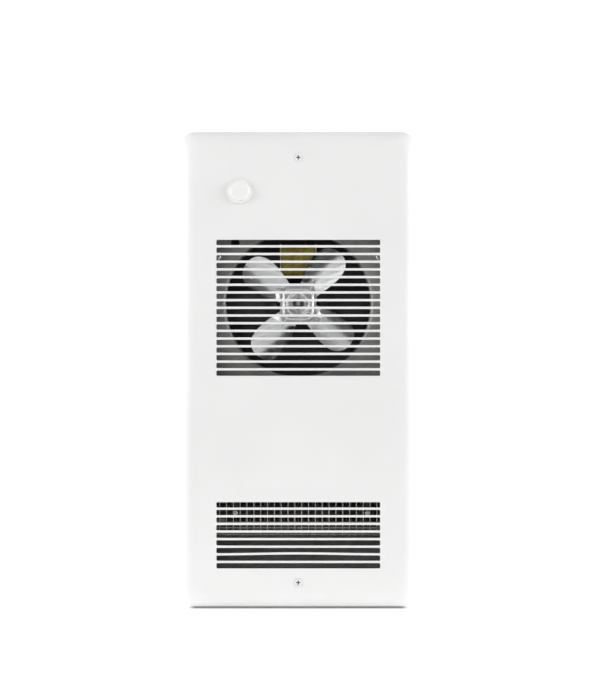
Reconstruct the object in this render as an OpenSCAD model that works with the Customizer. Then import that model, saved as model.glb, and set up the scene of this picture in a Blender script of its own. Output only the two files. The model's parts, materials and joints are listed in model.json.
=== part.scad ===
// Recessed wall fan heater for a bathroom: a steel cover with an intake and an outlet
// grille over a wall box that holds the fan deck, the motor, the heating element, the
// outlet guard and the thermostat.
// Millimetres. X runs to the viewer's right, Y into the wall, Z up. The origin is the
// centre of the four mounting holes on the outside of the wall box's back.

/* [Cover] */
// Width of the front cover
cover_w = 266; // [262:1:290]
// Height of the front cover
cover_h = 522; // [518:1:560]
// How far the cover stands out from the wall
cover_d = 32; // [30:1:40]
// Sheet thickness of the cover
cover_t = 1.2; // [0.8:0.1:1.6]
// Outer bend radius along the cover's front edges
edge_r = 17; // [8:1:20]
// Corner radius of the cover, seen from the front
corner_r = 21; // [21:1:26]
// Depth of the dimples that the cover screws sit in
dimple_d = 1.6; // [1:0.1:2.2]
// Radius of those dimples
dimple_r = 6.6; // [5.5:0.1:8]
// Distance of the top cover screw below the top edge
top_screw_drop = 30; // [26:0.5:34]
// Distance of the bottom cover screw above the bottom edge
bottom_screw_rise = 28.5; // [25:0.5:32]

/* [Grilles] */
// Width of the slots in both grilles
grille_w = 178.5; // [160:0.5:186]
// Corner radius of the slots
slot_r = 1.2; // [0.5:0.1:2]
// Number of intake slots
intake_slots = 18; // [12:1:19]
// Spacing of the intake slots
intake_pitch = 8.38; // [8:0.01:9]
// Height of one intake slot
intake_slot_h = 5.8; // [4.5:0.1:6.6]
// Distance of the intake grille's centre below the cover's top edge
intake_drop = 194; // [190:0.5:200]
// Number of outlet slots
outlet_slots = 9; // [6:1:9]
// Spacing of the outlet slots
outlet_pitch = 8.29; // [8:0.01:9]
// Height of one outlet slot
outlet_slot_h = 5.8; // [4.5:0.1:6.4]
// Height of the outlet grille's centre above the cover's bottom edge
outlet_rise = 80; // [76:1:84]

/* [Wall box] */
// How far the cover reaches past the wall box at each side
side_lap = 18; // [14:1:18]
// How far the cover reaches past the wall box at the top and the bottom
end_lap = 19; // [14:1:20]
// Depth of the wall box
box_d = 92; // [90:1:110]
// Sheet thickness of the wall box
box_t = 1; // [0.8:0.1:1.5]
// Width of the flange that lies on the wall
flange_w = 9; // [6:0.5:12]
// Hole spacing of the back mounting holes, across
mount_dx = 150; // [120:5:170]
// Hole spacing of the back mounting holes, upwards
mount_dz = 380; // [340:10:400]
// Radius of the mounting holes
mount_r = 2.75; // [2:0.25:3.5]
// Height spacing of the stud screw holes in the box's sides
stud_dz = 300; // [280:10:320]
// Radius of the knockouts
knockout_r = 11.1; // [9:0.1:14]

/* [Fan deck] */
// Sheet thickness of the fan deck
deck_t = 1; // [0.8:0.1:1.5]
// Distance of the deck behind the wall plane
deck_setback = 6; // [5:0.5:8]
// Clearance between the deck's edge and the wall box
deck_clear = 3.5; // [3:0.5:5]
// Clearance between the fan orifice and the motor bracket's legs
orifice_gap = 14; // [11:0.5:16]
// Bend radius of the orifice's lip
lip_r = 4; // [3:0.5:5]
// Straight collar behind the lip
collar_l = 5; // [2:0.5:8]
// Height of the outlet opening in the deck
outlet_open_h = 81; // [80:1:84]
// Width of the strips of deck that are left beside its outlet opening
outlet_side = 8.5; // [7.5:0.5:12]

/* [Fan and motor] */
// Height of the fan's axis above the intake grille's centre
fan_lift = 5; // [2:0.5:8]
// Clearance between the blade tips and the orifice
tip_gap = 7; // [6:0.5:12]
// Half width of a blade where it leaves the hub plate
blade_root_w = 10; // [8:0.5:12]
// How much a blade's half width grows towards its tip
blade_flare = 18; // [14:0.5:20]
// Pitch of the blades
blade_pitch = 27; // [20:1:32]
// Camber radius of the blades
blade_camber_r = 62; // [50:1:90]
// Thickness of the blade sheet
blade_t = 1; // [0.8:0.1:1.4]
// Turn of the blades from the upright cross, at rest
blade_turn = 52; // [0:0.5:90]
// Side of the square hub plate
hub_plate_w = 40; // [34:1:42]
// How far the hub plate stands in front of the deck
fan_lead = 9; // [7:0.5:11]
// Radius of the motor shaft
shaft_r = 2.5; // [2:0.1:3.2]
// Radial running clearance of the shaft
shaft_clear = 0.04; // [0.02:0.01:0.08]
// Width of the motor's lamination stack
stack_w = 63; // [60:1:70]
// Length of the stack along the shaft
stack_l = 25; // [20:1:28]
// Distance of the stack behind the deck
stack_gap = 23; // [22:0.5:26]
// Radius of the rotor
rotor_r = 15; // [13:0.5:16]
// Air gap between rotor and stack
air_gap = 0.35; // [0.25:0.05:0.6]
// Height of the coil's centre above the shaft
coil_rise = 48.5; // [47:0.5:52]
// Length of the wound coil
coil_w = 38.4; // [34:0.2:39]
// Height of the wound coil
coil_h = 35; // [30:1:36]
// Distance of the motor bracket's legs from the deck's edges
bracket_inset = 16.5; // [15:0.5:17.5]
// Width of the motor bracket's strap
strap_w = 34; // [28:1:38]

/* [Heating element and guard] */
// Height of the element's centre above the outlet grille's centre
element_lift = 21; // [18:1:24]
// Distance of the element's end plates from the sides of the outlet opening
element_inset = 26; // [24:1:40]
// Radius of the element's sheath
sheath_r = 4; // [3:0.1:4.5]
// Distance between the two passes of the sheath
pass_dz = 22; // [18:1:24]
// Spacing of the fins
fin_pitch = 5.4; // [4:0.1:5.6]
// Thickness of a fin
fin_t = 0.5; // [0.3:0.1:1]
// Height of a fin
fin_h = 42; // [36:1:44]
// Depth of a fin
fin_d = 28; // [20:1:30]
// Distance of the element's centre behind the deck
element_back = 33; // [30:1:36]
// Radius of the guard's wires
wire_r = 0.55; // [0.4:0.05:0.7]
// Spacing of the guard's wires
wire_pitch = 7.6; // [7:0.1:7.9]
// Height of the guard's screws above the outlet grille's centre
guard_screw_lift = 21; // [18:1:26]

/* [Thermostat] */
// Distance of the thermostat to the left of the middle
knob_left = 64; // [60:1:70]
// Distance of the thermostat below the cover's top edge
knob_drop = 67; // [64:1:74]
// Radius of the knob's skirt
knob_r = 13.5; // [12:0.5:16]
// Height of the knob above the cover
knob_h = 8; // [7.5:0.5:14]
// Radius of the thermostat's spindle
spindle_r = 3; // [2.5:0.1:3.5]

/* [Hidden] */
$fn = 48;
eps = 0.01;

// Planes along Y, from the back of the wall box to the face of the cover.
wall_y = -box_d;
face_y = wall_y - cover_d;
inner_face_y = face_y + cover_t;
deck_y = wall_y + deck_setback;
deck_back_y = deck_y + deck_t;
hub_y = deck_y - fan_lead;
stack_y = deck_back_y + stack_gap;
stack_end_y = stack_y + stack_l;

// The wall box, inside the cover's outline, and the deck inside the box.
box_w = cover_w - 2 * side_lap;
box_h = cover_h - 2 * end_lap;
box_in_x = box_w / 2 - box_t;
box_in_z = box_h / 2 - box_t;
deck_half_w = box_in_x - deck_clear;
deck_half_h = box_in_z - deck_clear;

// Heights from the middle of the cover.
intake_z = cover_h / 2 - intake_drop;
outlet_drop = cover_h / 2 - outlet_rise;
fan_z = intake_z + fan_lift;
element_drop = outlet_drop - element_lift;
guard_screw_drop = outlet_drop - guard_screw_lift;
knob_z = cover_h / 2 - knob_drop;

// The fan and the element take the width that the deck leaves them.
bracket_half = deck_half_w - bracket_inset;
orifice_r = bracket_half - orifice_gap;
fan_r = orifice_r - tip_gap;
outlet_open_w = 2 * (deck_half_w - outlet_side);
outlet_open_top = -outlet_drop + outlet_open_h / 2;
end_plate_x = outlet_open_w / 2 - element_inset;
fin_count = 2 * floor((end_plate_x - fin_d / 9) / fin_pitch) + 1;
wire_count = 2 * floor((outlet_open_w / 2 - wire_r + eps) / wire_pitch);

// Colours as the photograph shows them.
paint_white = [0.95, 0.95, 0.94];
zinc_grey = [0.62, 0.63, 0.62];
bright_metal = [0.85, 0.86, 0.87];
dark_steel = [0.2, 0.2, 0.21];
black_paint = [0.1, 0.1, 0.1];
tape_yellow = [0.72, 0.6, 0.1];
copper = [0.72, 0.42, 0.24];
nylon = [0.88, 0.87, 0.82];

// ---------------------------------------------------------------- shared shapes

// A plate drawn as seen from the front, between y and y + t.
module upright(y, t) {
    translate([0, y + t, 0]) rotate([90, 0, 0]) linear_extrude(t) children();
}

// A profile of radius and distance along +Y, turned about the axis at x, z.
module turned(x, y, z) {
    translate([x, y, z]) rotate([-90, 0, 0]) rotate_extrude() children();
}

// A rod along Y from y0 to y1.
module rod_y(x, z, y0, y1, r) {
    translate([x, y0, z]) rotate([-90, 0, 0]) cylinder(h = y1 - y0, r = r);
}

// A rod along X from x0 to x1.
module rod_x(y, z, x0, x1, r) {
    translate([x0, y, z]) rotate([0, 90, 0]) cylinder(h = x1 - x0, r = r);
}

// A block between two corners.
module block(low, high) {
    translate(low) cube(high - low);
}

module rounded_rect(w, h, r) {
    square([w - 2 * r, h], center = true);
    square([w, h - 2 * r], center = true);
    for (x = [-1, 1], y = [-1, 1])
        translate([x * (w / 2 - r), y * (h / 2 - r)]) circle(r);
}

module mirrored_x() {
    children();
    mirror([1, 0, 0]) children();
}

// A pan-head screw along +Y with its head's seat at y: the dome stands out towards -Y
// and holds a cross recess.
module pan_screw(x, y, z, head_r, head_h, shank_r, shank_l) {
    dome_r = (head_r * head_r + head_h * head_h) / (2 * head_h);
    recess_w = head_r * 0.24;
    recess_l = head_r * 1.05;
    difference() {
        intersection() {
            translate([x, y - head_h + dome_r, z]) sphere(dome_r);
            rod_y(x, z, y - head_h - 1, y, head_r);
        }
        for (turn = [0, 90])
            translate([x, y - head_h, z]) rotate([0, turn, 0])
                cube([recess_l, head_h, recess_w], center = true);
    }
    rod_y(x, z, y - eps, y + shank_l, shank_r);
}

// A six-sided nut with a true bore, from y to y + t.
module hex_nut(x, y, z, across, t, bore_r) {
    difference() {
        translate([x, y, z]) rotate([-90, 0, 0])
            cylinder(h = t, r = across / 2 / cos(30), $fn = 6);
        rod_y(x, z, y - 1, y + t + 1, bore_r);
    }
}

// A tube swept along points as one closed mesh; each ring lies across the mean of the
// two directions that meet at its point.
function unit(v) = v / norm(v);
function along(p, i) =
    unit(p[min(i + 1, len(p) - 1)] - p[max(i - 1, 0)]);
function across(d) = unit(cross(d, abs(d[2]) < 0.9 ? [0, 0, 1] : [1, 0, 0]));
function tube_ring(p, i, r, sides) =
    let (d = along(p, i), u = across(d), v = cross(d, u))
    [for (k = [0 : sides - 1]) p[i] + r * (cos(k * 360 / sides) * u + sin(k * 360 / sides) * v)];

// Points of a route with each corner rounded by a curve through its neighbours.
function bend(a, b, c, n) =
    [for (k = [0 : n]) let (t = k / n)
        (1 - t) * (1 - t) * a + 2 * t * (1 - t) * b + t * t * c];
function rounded_route(p, reach, n) = [
    p[0],
    for (i = [1 : len(p) - 2])
        each bend(p[i] + unit(p[i - 1] - p[i]) * reach, p[i],
                  p[i] + unit(p[i + 1] - p[i]) * reach, n),
    p[len(p) - 1]
];

module wire(route, r) {
    sides = 8;
    p = rounded_route(route, wire_bend, 3);
    rings = len(p);
    polyhedron(
        points = [for (i = [0 : rings - 1]) each tube_ring(p, i, r, sides)],
        faces = [
            [for (k = [0 : sides - 1]) k],
            for (i = [0 : rings - 2], k = [0 : sides - 1])
                [i * sides + k, (i + 1) * sides + k,
                 (i + 1) * sides + (k + 1) % sides],
            for (i = [0 : rings - 2], k = [0 : sides - 1])
                [i * sides + k, (i + 1) * sides + (k + 1) % sides,
                 i * sides + (k + 1) % sides],
            [for (k = [sides - 1 : -1 : 0]) (rings - 1) * sides + k]
        ]
    );
}

// ---------------------------------------------------------------- wall box

module knockout_ring(x, y, z) {
    score_w = 0.8;
    translate([x, y, z]) difference() {
        cylinder(h = box_t, r = knockout_r + score_w / 2, center = true);
        cylinder(h = box_t + 1, r = knockout_r - score_w / 2, center = true);
    }
}

knockout_x = 55;
knockout_y = -42;
stud_hole_r = 2.5;
stud_hole_y = -60;

module wall_box() {
    color(zinc_grey) difference() {
        union() {
            difference() {
                block([-box_w / 2, wall_y, -box_h / 2], [box_w / 2, 0, box_h / 2]);
                block([-box_in_x, wall_y - 1, -box_in_z], [box_in_x, -box_t, box_in_z]);
            }
            mirrored_x()
                block([box_in_x, wall_y, -box_in_z], [box_w / 2 + flange_w, wall_y + box_t, box_in_z]);
            for (side = [-1, 1])
                block([-box_in_x, wall_y, min(side * box_in_z, side * (box_h / 2 + flange_w))],
                      [box_in_x, wall_y + box_t, max(side * box_in_z, side * (box_h / 2 + flange_w))]);
        }
        for (x = [-1, 1], z = [-1, 1])
            rod_y(x * mount_dx / 2, z * mount_dz / 2, -box_t - 1, 1, mount_r);
        for (x = [-1, 1], z = [-1, 1])
            rod_x(stud_hole_y, z * stud_dz / 2, x * box_w / 2 - 3, x * box_w / 2 + 3, stud_hole_r);
        for (x = [-1, 1], z = [-1, 1])
            knockout_ring(x * knockout_x, knockout_y, z * box_h / 2);
        rod_x(ground_y, ground_z, -box_w / 2 - 3, -box_in_x + 3, ground_r + 0.05);
    }
}

// Angle tabs on the sides of the wall box that the deck is screwed to.
tab_t = 1.2;
tab_reach = 34;
tab_h = 12;
tab_depth = 14;
tab_above_fan = 52.5;
tab_below_fan = 111.5;
tab_above_floor = 10;
tab_levels = [fan_z + tab_above_fan, fan_z - tab_below_fan, -box_h / 2 + tab_above_floor];
deck_screw_inset = 24.5;
deck_screw_x = box_in_x - deck_screw_inset;
deck_screw_r = 1.65;
deck_screw_l = 8;

module deck_tabs() {
    color(zinc_grey) for (level = tab_levels) mirrored_x() difference() {
        union() {
            block([box_in_x - tab_reach, deck_back_y, level - tab_h / 2],
                  [box_in_x, deck_back_y + tab_t, level + tab_h / 2]);
            block([box_in_x - tab_t, deck_back_y, level - tab_h / 2],
                  [box_in_x, deck_back_y + tab_depth, level + tab_h / 2]);
        }
        rod_y(deck_screw_x, level, deck_back_y - 1, deck_back_y + tab_t + 1, deck_screw_r + 0.05);
    }
}

module deck_screws() {
    color(bright_metal) for (level = tab_levels, side = [-1, 1])
        pan_screw(side * deck_screw_x, deck_y, level, 4, 2.4, deck_screw_r, deck_screw_l);
}

// ---------------------------------------------------------------- cover

cover_screw_r = 2.1;
cover_screw_l = 14;
screw_levels = [cover_h / 2 - top_screw_drop, -cover_h / 2 + bottom_screw_rise];
clip_t = 0.6;
bracket_t = 1.2;
cover_tab_w = 30;
cover_tab_drop = 12;
cover_tab_y = face_y + dimple_d + cover_t + clip_t;

// Wall of the cover from the edge of its flat face to the rim; p runs outwards, q from
// the wall plane to the face.
module cover_wall_profile() {
    intersection() {
        translate([0, cover_d - edge_r]) difference() {
            circle(edge_r);
            circle(edge_r - cover_t);
        }
        translate([0, cover_d - edge_r]) square(edge_r + cover_t);
    }
    translate([edge_r - cover_t, 0]) square([cover_t, cover_d - edge_r]);
}

module cover_edge(reach, length) {
    translate([reach - edge_r, 0, 0]) rotate([90, 0, 0])
        linear_extrude(length, center = true) cover_wall_profile();
}

module slot_rows(count, pitch, slot_h) {
    for (row = [0 : count - 1])
        translate([0, (row - (count - 1) / 2) * pitch]) rounded_rect(grille_w, slot_h, slot_r);
}

// A dished seat under a cover screw: radius and depth from the outer face.
module dimple_profile() {
    flat_r = dimple_r - 2 * dimple_d / 1.6;
    polygon([
        [cover_screw_r + 0.3, dimple_d], [flat_r, dimple_d], [dimple_r, 0],
        [dimple_r + 0.5, 0], [dimple_r + 0.5, cover_t], [dimple_r, cover_t],
        [flat_r, dimple_d + cover_t], [cover_screw_r + 0.3, dimple_d + cover_t]
    ]);
}

module front_cover() {
    color(paint_white) {
        translate([0, wall_y, 0]) rotate([90, 0, 0]) {
            translate([0, 0, cover_d - cover_t]) linear_extrude(cover_t) difference() {
                rounded_rect(cover_w - 2 * edge_r, cover_h - 2 * edge_r, corner_r - edge_r);
                translate([0, intake_z]) slot_rows(intake_slots, intake_pitch, intake_slot_h);
                translate([0, -outlet_drop]) slot_rows(outlet_slots, outlet_pitch, outlet_slot_h);
                for (level = screw_levels) translate([0, level]) circle(dimple_r + 0.5);
                translate([-knob_left, knob_z]) circle(spindle_r + 1.5);
            }
            for (turn = [0, 180]) rotate(turn) cover_edge(cover_w / 2, cover_h - 2 * corner_r);
            for (turn = [90, 270]) rotate(turn) cover_edge(cover_h / 2, cover_w - 2 * corner_r);
            for (x = [0, 1], z = [0, 1]) mirror([x, 0, 0]) mirror([0, z, 0])
                translate([cover_w / 2 - corner_r, cover_h / 2 - corner_r, 0])
                    rotate_extrude(angle = 90) translate([corner_r - edge_r, 0]) cover_wall_profile();
        }
        for (level = screw_levels) turned(0, face_y, level) dimple_profile();
    }
}

module cover_screws() {
    color(bright_metal) for (level = screw_levels)
        pan_screw(0, face_y + dimple_d, level, 4.2, 2.4, cover_screw_r, cover_screw_l);
}

// Angle brackets on the roof and floor of the wall box that the cover is screwed to.
module cover_brackets() {
    foot_l = 20;
    color(zinc_grey) for (end = [0, 1]) {
        side = 1 - 2 * end;
        tip = screw_levels[end] - side * cover_tab_drop;
        difference() {
            union() {
                block([-cover_tab_w / 2, cover_tab_y, min(side * (box_in_z - bracket_t), side * box_in_z)],
                      [cover_tab_w / 2, wall_y + foot_l, max(side * (box_in_z - bracket_t), side * box_in_z)]);
                block([-cover_tab_w / 2, cover_tab_y, min(side * box_in_z, tip)],
                      [cover_tab_w / 2, cover_tab_y + bracket_t, max(side * box_in_z, tip)]);
            }
            rod_y(0, screw_levels[end], cover_tab_y - 1, cover_tab_y + bracket_t + 1, cover_screw_r + 0.8);
        }
    }
}

// U-shaped spring nuts pushed over the ends of those brackets.
module cover_clips() {
    clip_w = 14;
    past_screw = 4;
    color(dark_steel) for (end = [0, 1]) {
        side = 1 - 2 * end;
        tip = screw_levels[end] - side * cover_tab_drop;
        far = screw_levels[end] + side * past_screw;
        difference() {
            union() {
                for (leaf_y = [cover_tab_y - clip_t, cover_tab_y + bracket_t])
                    block([-clip_w / 2, leaf_y, min(tip - side * clip_t, far)],
                          [clip_w / 2, leaf_y + clip_t, max(tip - side * clip_t, far)]);
                block([-clip_w / 2, cover_tab_y - clip_t, min(tip, tip - side * clip_t)],
                      [clip_w / 2, cover_tab_y + bracket_t + clip_t, max(tip, tip - side * clip_t)]);
                rod_y(0, screw_levels[end], cover_tab_y + bracket_t, cover_tab_y + bracket_t + 3, 3.4);
            }
            rod_y(0, screw_levels[end], cover_tab_y - 3, cover_tab_y + 8, cover_screw_r + 0.05);
        }
    }
}

// ---------------------------------------------------------------- fan deck

deck_lip = 5;
lip_land = 1;
sight_hole_inset = 10;
sight_hole_rise = 68;
sight_hole = [-orifice_r + sight_hole_inset, fan_z + sight_hole_rise];
sight_hole_r = 4.8;
outlet_return = 6;
guard_screw_r = 1.5;
guard_head_r = 2.8;
screw_gap = 0.2;
wire_bite = 0.45;
function wire_near(x) = (round(x / wire_pitch + 0.5) - 0.5) * wire_pitch;
guard_screw_x = [-wire_near(0.345 * outlet_open_w) + guard_screw_r + wire_r + screw_gap,
    wire_near(0.374 * outlet_open_w) - guard_head_r - wire_r + wire_bite];
tongue_w = 9;
bushing_r = 4.8;
rivet_r = 1.9;
bracket_foot = 14;
rivet_x = bracket_half + bracket_foot / 2;
rivet_dz = strap_w / 2 - 8;

// Quarter round and collar round the fan orifice; radius and distance behind the deck's face.
module orifice_lip_profile() {
    intersection() {
        translate([orifice_r + lip_r, lip_r]) difference() {
            circle(lip_r);
            circle(lip_r - deck_t);
        }
        translate([orifice_r - deck_t, -deck_t]) square(lip_r + deck_t);
    }
    translate([orifice_r, lip_r]) square([deck_t, collar_l]);
    translate([orifice_r + lip_r, 0]) square([lip_land, deck_t]);
}

module fan_deck() {
    color(zinc_grey) {
        upright(deck_y, deck_t) difference() {
            square([2 * deck_half_w, 2 * deck_half_h], center = true);
            translate([0, fan_z]) circle(orifice_r + lip_r);
            difference() {
                translate([0, -outlet_drop]) rounded_rect(outlet_open_w, outlet_open_h, 4);
                for (x = guard_screw_x)
                    translate([x - tongue_w / 2, -guard_screw_drop - tongue_w / 2])
                        square([tongue_w, outlet_open_top + guard_screw_drop + tongue_w]);
            }
            for (x = guard_screw_x) translate([x, -guard_screw_drop]) circle(guard_screw_r + 0.05);
            translate([-knob_left, knob_z]) circle(bushing_r + 0.1);
            translate(sight_hole) circle(sight_hole_r);
            for (level = tab_levels, side = [-1, 1])
                translate([side * deck_screw_x, level]) circle(deck_screw_r + 0.35);
            for (side = [-1, 1], up = [-1, 1])
                translate([side * rivet_x, fan_z + up * rivet_dz]) circle(rivet_r + 0.05);
        }
        turned(0, deck_y, fan_z) orifice_lip_profile();
        mirrored_x()
            block([deck_half_w - deck_t, deck_y - deck_lip, -deck_half_h + 3],
                  [deck_half_w, deck_y + deck_t, deck_half_h - 3]);
        for (side = [-1, 1])
            block([-deck_half_w + 3, deck_y - deck_lip, min(side * deck_half_h, side * (deck_half_h - deck_t))],
                  [deck_half_w - 3, deck_y + deck_t, max(side * deck_half_h, side * (deck_half_h - deck_t))]);
        for (side = [-1, 1]) {
            edge = -outlet_drop + side * outlet_open_h / 2;
            block([-outlet_open_w / 2 + 6, deck_y, min(edge, edge + side * deck_t)],
                  [outlet_open_w / 2 - 6, deck_back_y + outlet_return, max(edge, edge + side * deck_t)]);
        }
    }
}

// Shelf between the intake and the outlet, with a foam strip against the cover.
divider_lift = 25.5;
divider_z = outlet_open_top + divider_lift;
seal_d = 5;
seal_h = 8;
divider_inset = 6.5;
divider_half = deck_half_w - divider_inset;

module air_divider() {
    sheet_t = 0.8;
    foot = 12;
    lip_y = inner_face_y + seal_d;
    color(zinc_grey) {
        block([-divider_half, deck_y - sheet_t, divider_z], [divider_half, deck_y, divider_z + foot]);
        block([-divider_half, lip_y, divider_z], [divider_half, deck_y, divider_z + sheet_t]);
        block([-divider_half, lip_y, divider_z], [divider_half, lip_y + sheet_t, divider_z + seal_h]);
    }
}

module divider_seal() {
    color(dark_steel)
        block([-divider_half, inner_face_y, divider_z], [divider_half, inner_face_y + seal_d, divider_z + seal_h]);
}

// ---------------------------------------------------------------- motor

strap_t = 1.5;
spacer_l = 15;
bridge_rise = 11;
bridge_t = 1.5;
bridge_w = 15;
stud_x = 25;
stud_r = 2;
strap_y = stack_end_y + bridge_t + spacer_l;
bush_r = 5;
bush_l = 9;
block_half = 22;
leg_w = 10;
coil_z = fan_z + coil_rise;
core_h = 14;
stack_in_x = stack_w / 2 - leg_w;

module motor_bracket() {
    color(zinc_grey) difference() {
        union() {
            block([-bracket_half, strap_y, fan_z - strap_w / 2],
                  [bracket_half, strap_y + strap_t, fan_z + strap_w / 2]);
            mirrored_x() {
                block([bracket_half - strap_t, deck_back_y, fan_z - strap_w / 2],
                      [bracket_half, strap_y + strap_t, fan_z + strap_w / 2]);
                block([bracket_half - strap_t, deck_back_y, fan_z - strap_w / 2],
                      [bracket_half + bracket_foot, deck_back_y + strap_t, fan_z + strap_w / 2]);
            }
        }
        rod_y(0, fan_z, strap_y - 1, strap_y + strap_t + 1, bush_r + 6);
        for (side = [-1, 1]) {
            rod_y(side * stud_x, fan_z, strap_y - 1, strap_y + strap_t + 1, stud_r + 0.1);
            for (up = [-1, 1])
                rod_y(side * rivet_x, fan_z + up * rivet_dz, deck_back_y - 1, deck_back_y + strap_t + 1,
                      rivet_r + 0.05);
        }
    }
}

module bracket_rivets() {
    head_r = 3.3;
    head_h = 1.2;
    color(bright_metal) for (side = [-1, 1], up = [-1, 1]) {
        x = side * rivet_x;
        z = fan_z + up * rivet_dz;
        rod_y(x, z, deck_y - head_h, deck_y, head_r);
        rod_y(x, z, deck_y - eps, deck_back_y + strap_t + eps, rivet_r);
        rod_y(x, z, deck_back_y + strap_t, deck_back_y + strap_t + head_h, head_r - 0.6);
    }
}

// Laminated C frame: a block round the rotor and two legs up to the coil's core.
ring_near = [13.5, 13.5];
ring_far = [20.5, 9];
ring_wire_r = 1.3;

module stator_stack() {
    color(dark_steel) upright(stack_y, stack_l) difference() {
        union() {
            translate([-stack_w / 2, fan_z - block_half]) square([stack_w, 2 * block_half]);
            for (side = [0, 1]) mirror([side, 0])
                translate([stack_in_x, fan_z]) square([leg_w, coil_rise + core_h / 2 + 3]);
        }
        translate([0, fan_z]) circle(rotor_r + air_gap);
        for (side = [-1, 1]) {
            translate([side * stud_x, fan_z]) circle(stud_r + 0.1);
            for (hole = [ring_near, ring_far])
                translate([side * hole[0], fan_z + side * hole[1]]) circle(ring_wire_r + 0.1);
        }
    }
}

module coil_core() {
    color(dark_steel)
        block([-stack_in_x, stack_y, coil_z - core_h / 2], [stack_in_x, stack_end_y, coil_z + core_h / 2]);
}

bobbin_t = 1.2;
bobbin_clear = 0.2;
coil_depth = 9.5;

// The coil's former: a tube round the core and a flange at each end.
module coil_bobbin() {
    flange_t = 1.3;
    hole = [stack_l + 2 * bobbin_clear, core_h + 2 * bobbin_clear];
    tube = hole + 2 * [bobbin_t, bobbin_t];
    mid_y = (stack_y + stack_end_y) / 2;
    color(nylon) translate([0, mid_y, coil_z]) difference() {
        union() {
            cube([coil_w + 2 * flange_t, tube[0], tube[1]], center = true);
            for (side = [-1, 1])
                translate([side * (coil_w + flange_t) / 2, 0, 0])
                    cube([flange_t, stack_l + 2 * coil_depth + 3, coil_h + 3], center = true);
        }
        cube([coil_w + 9, hole[0], hole[1]], center = true);
    }
}

module coil_winding() {
    mid_y = (stack_y + stack_end_y) / 2;
    tube = [core_h + 2 * (bobbin_clear + bobbin_t), stack_l + 2 * (bobbin_clear + bobbin_t)];
    color(tape_yellow) translate([0, mid_y, coil_z]) rotate([0, 90, 0])
        linear_extrude(coil_w, center = true) difference() {
            rounded_rect(coil_h, stack_l + 2 * coil_depth, 6);
            square(tube, center = true);
        }
}

// Closed copper loops through the stack beside the rotor.
module shading_rings() {
    color(copper) for (side = [-1, 1]) translate([0, 0, fan_z]) {
        near = [side * ring_near[0], side * ring_near[1]];
        far = [side * ring_far[0], side * ring_far[1]];
        for (p = [near, far])
            rod_y(p[0], p[1], stack_y - 2 * ring_wire_r, stack_end_y + 2 * ring_wire_r, ring_wire_r);
        for (y = [stack_y - 2 * ring_wire_r, stack_end_y + 0.2])
            translate([(near[0] + far[0]) / 2, y + ring_wire_r - 0.1, (near[1] + far[1]) / 2])
                rotate([0, -atan2(far[1] - near[1], far[0] - near[0]), 0])
                    cube([norm(far - near), 2 * ring_wire_r - 0.2, 1.6 * ring_wire_r], center = true);
    }
}

// A bearing bridge in front of the stack; turned round for the rear one.
module bridge(y) {
    foot_in = rotor_r + 3.5;
    difference() {
        union() {
            for (side = [0, 1]) mirror([side, 0, 0]) {
                block([foot_in, y - bridge_t, fan_z - bridge_w / 2], [stack_w / 2 - 0.5, y, fan_z + bridge_w / 2]);
                block([foot_in, y - bridge_rise, fan_z - bridge_w / 2],
                      [foot_in + bridge_t, y, fan_z + bridge_w / 2]);
            }
            block([-foot_in - bridge_t, y - bridge_rise - bridge_t, fan_z - bridge_w / 2],
                  [foot_in + bridge_t, y - bridge_rise, fan_z + bridge_w / 2]);
            rod_y(0, fan_z, y - bridge_rise - bush_l + 2, y - bridge_rise, bush_r + 2);
        }
        rod_y(0, fan_z, y - bridge_rise - bush_l, y - bridge_rise + 1, bush_r + 0.02);
        for (side = [-1, 1]) rod_y(side * stud_x, fan_z, y - bridge_t - 1, y + 1, stud_r + 0.1);
    }
}

module turn_about_stack() {
    translate([0, stack_y + stack_end_y, 0]) mirror([0, 1, 0]) children();
}

module front_bridge() {
    color(bright_metal) bridge(stack_y);
}

module rear_bridge() {
    color(bright_metal) turn_about_stack() bridge(stack_y);
}

module bush() {
    difference() {
        rod_y(0, fan_z, stack_y - bridge_rise - bush_l + 1, stack_y - bridge_rise + 1, bush_r);
        rod_y(0, fan_z, stack_y - 3 * bridge_rise, stack_y, shaft_r + shaft_clear);
    }
}

module shaft_bushes() {
    color(copper) {
        bush();
        turn_about_stack() bush();
    }
}

module motor_screws() {
    color(bright_metal) for (side = [-1, 1])
        pan_screw(side * stud_x, stack_y - bridge_t, fan_z, 3.6, 2.4, stud_r,
                  strap_y + strap_t + 6 - stack_y + bridge_t);
}

module motor_nuts() {
    color(bright_metal) for (side = [-1, 1])
        hex_nut(side * stud_x, strap_y + strap_t, fan_z, 7, 3.2, stud_r + 0.05);
}

module motor_spacers() {
    color(bright_metal) for (side = [-1, 1]) difference() {
        rod_y(side * stud_x, fan_z, stack_end_y + bridge_t, strap_y, stud_r + 2);
        rod_y(side * stud_x, fan_z, stack_end_y, strap_y + 1, stud_r + 0.1);
    }
}

shaft_tip_y = hub_y - 7;
ring_l = 3;

module motor_shaft() {
    color(bright_metal)
        rod_y(0, fan_z, shaft_tip_y, stack_end_y + bridge_rise + bush_l + 1, shaft_r);
}

module rotor_core() {
    color(zinc_grey) difference() {
        union() {
            rod_y(0, fan_z, stack_y, stack_end_y, rotor_r);
            rod_y(0, fan_z, stack_y - ring_l, stack_end_y + ring_l, rotor_r - 2);
        }
        rod_y(0, fan_z, stack_y - 9, stack_end_y + 9, shaft_r + 0.02);
    }
}

module collar() {
    play = 0.4;
    difference() {
        rod_y(0, fan_z, stack_y - bridge_rise + 1 + play, stack_y - ring_l, shaft_r + 2);
        rod_y(0, fan_z, stack_y - 2 * bridge_rise, stack_y, shaft_r + 0.02);
    }
}

module shaft_collars() {
    color(nylon) {
        collar();
        turn_about_stack() collar();
    }
}

// ---------------------------------------------------------------- fan

blade_root = hub_plate_w / 2 - 4;

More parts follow.
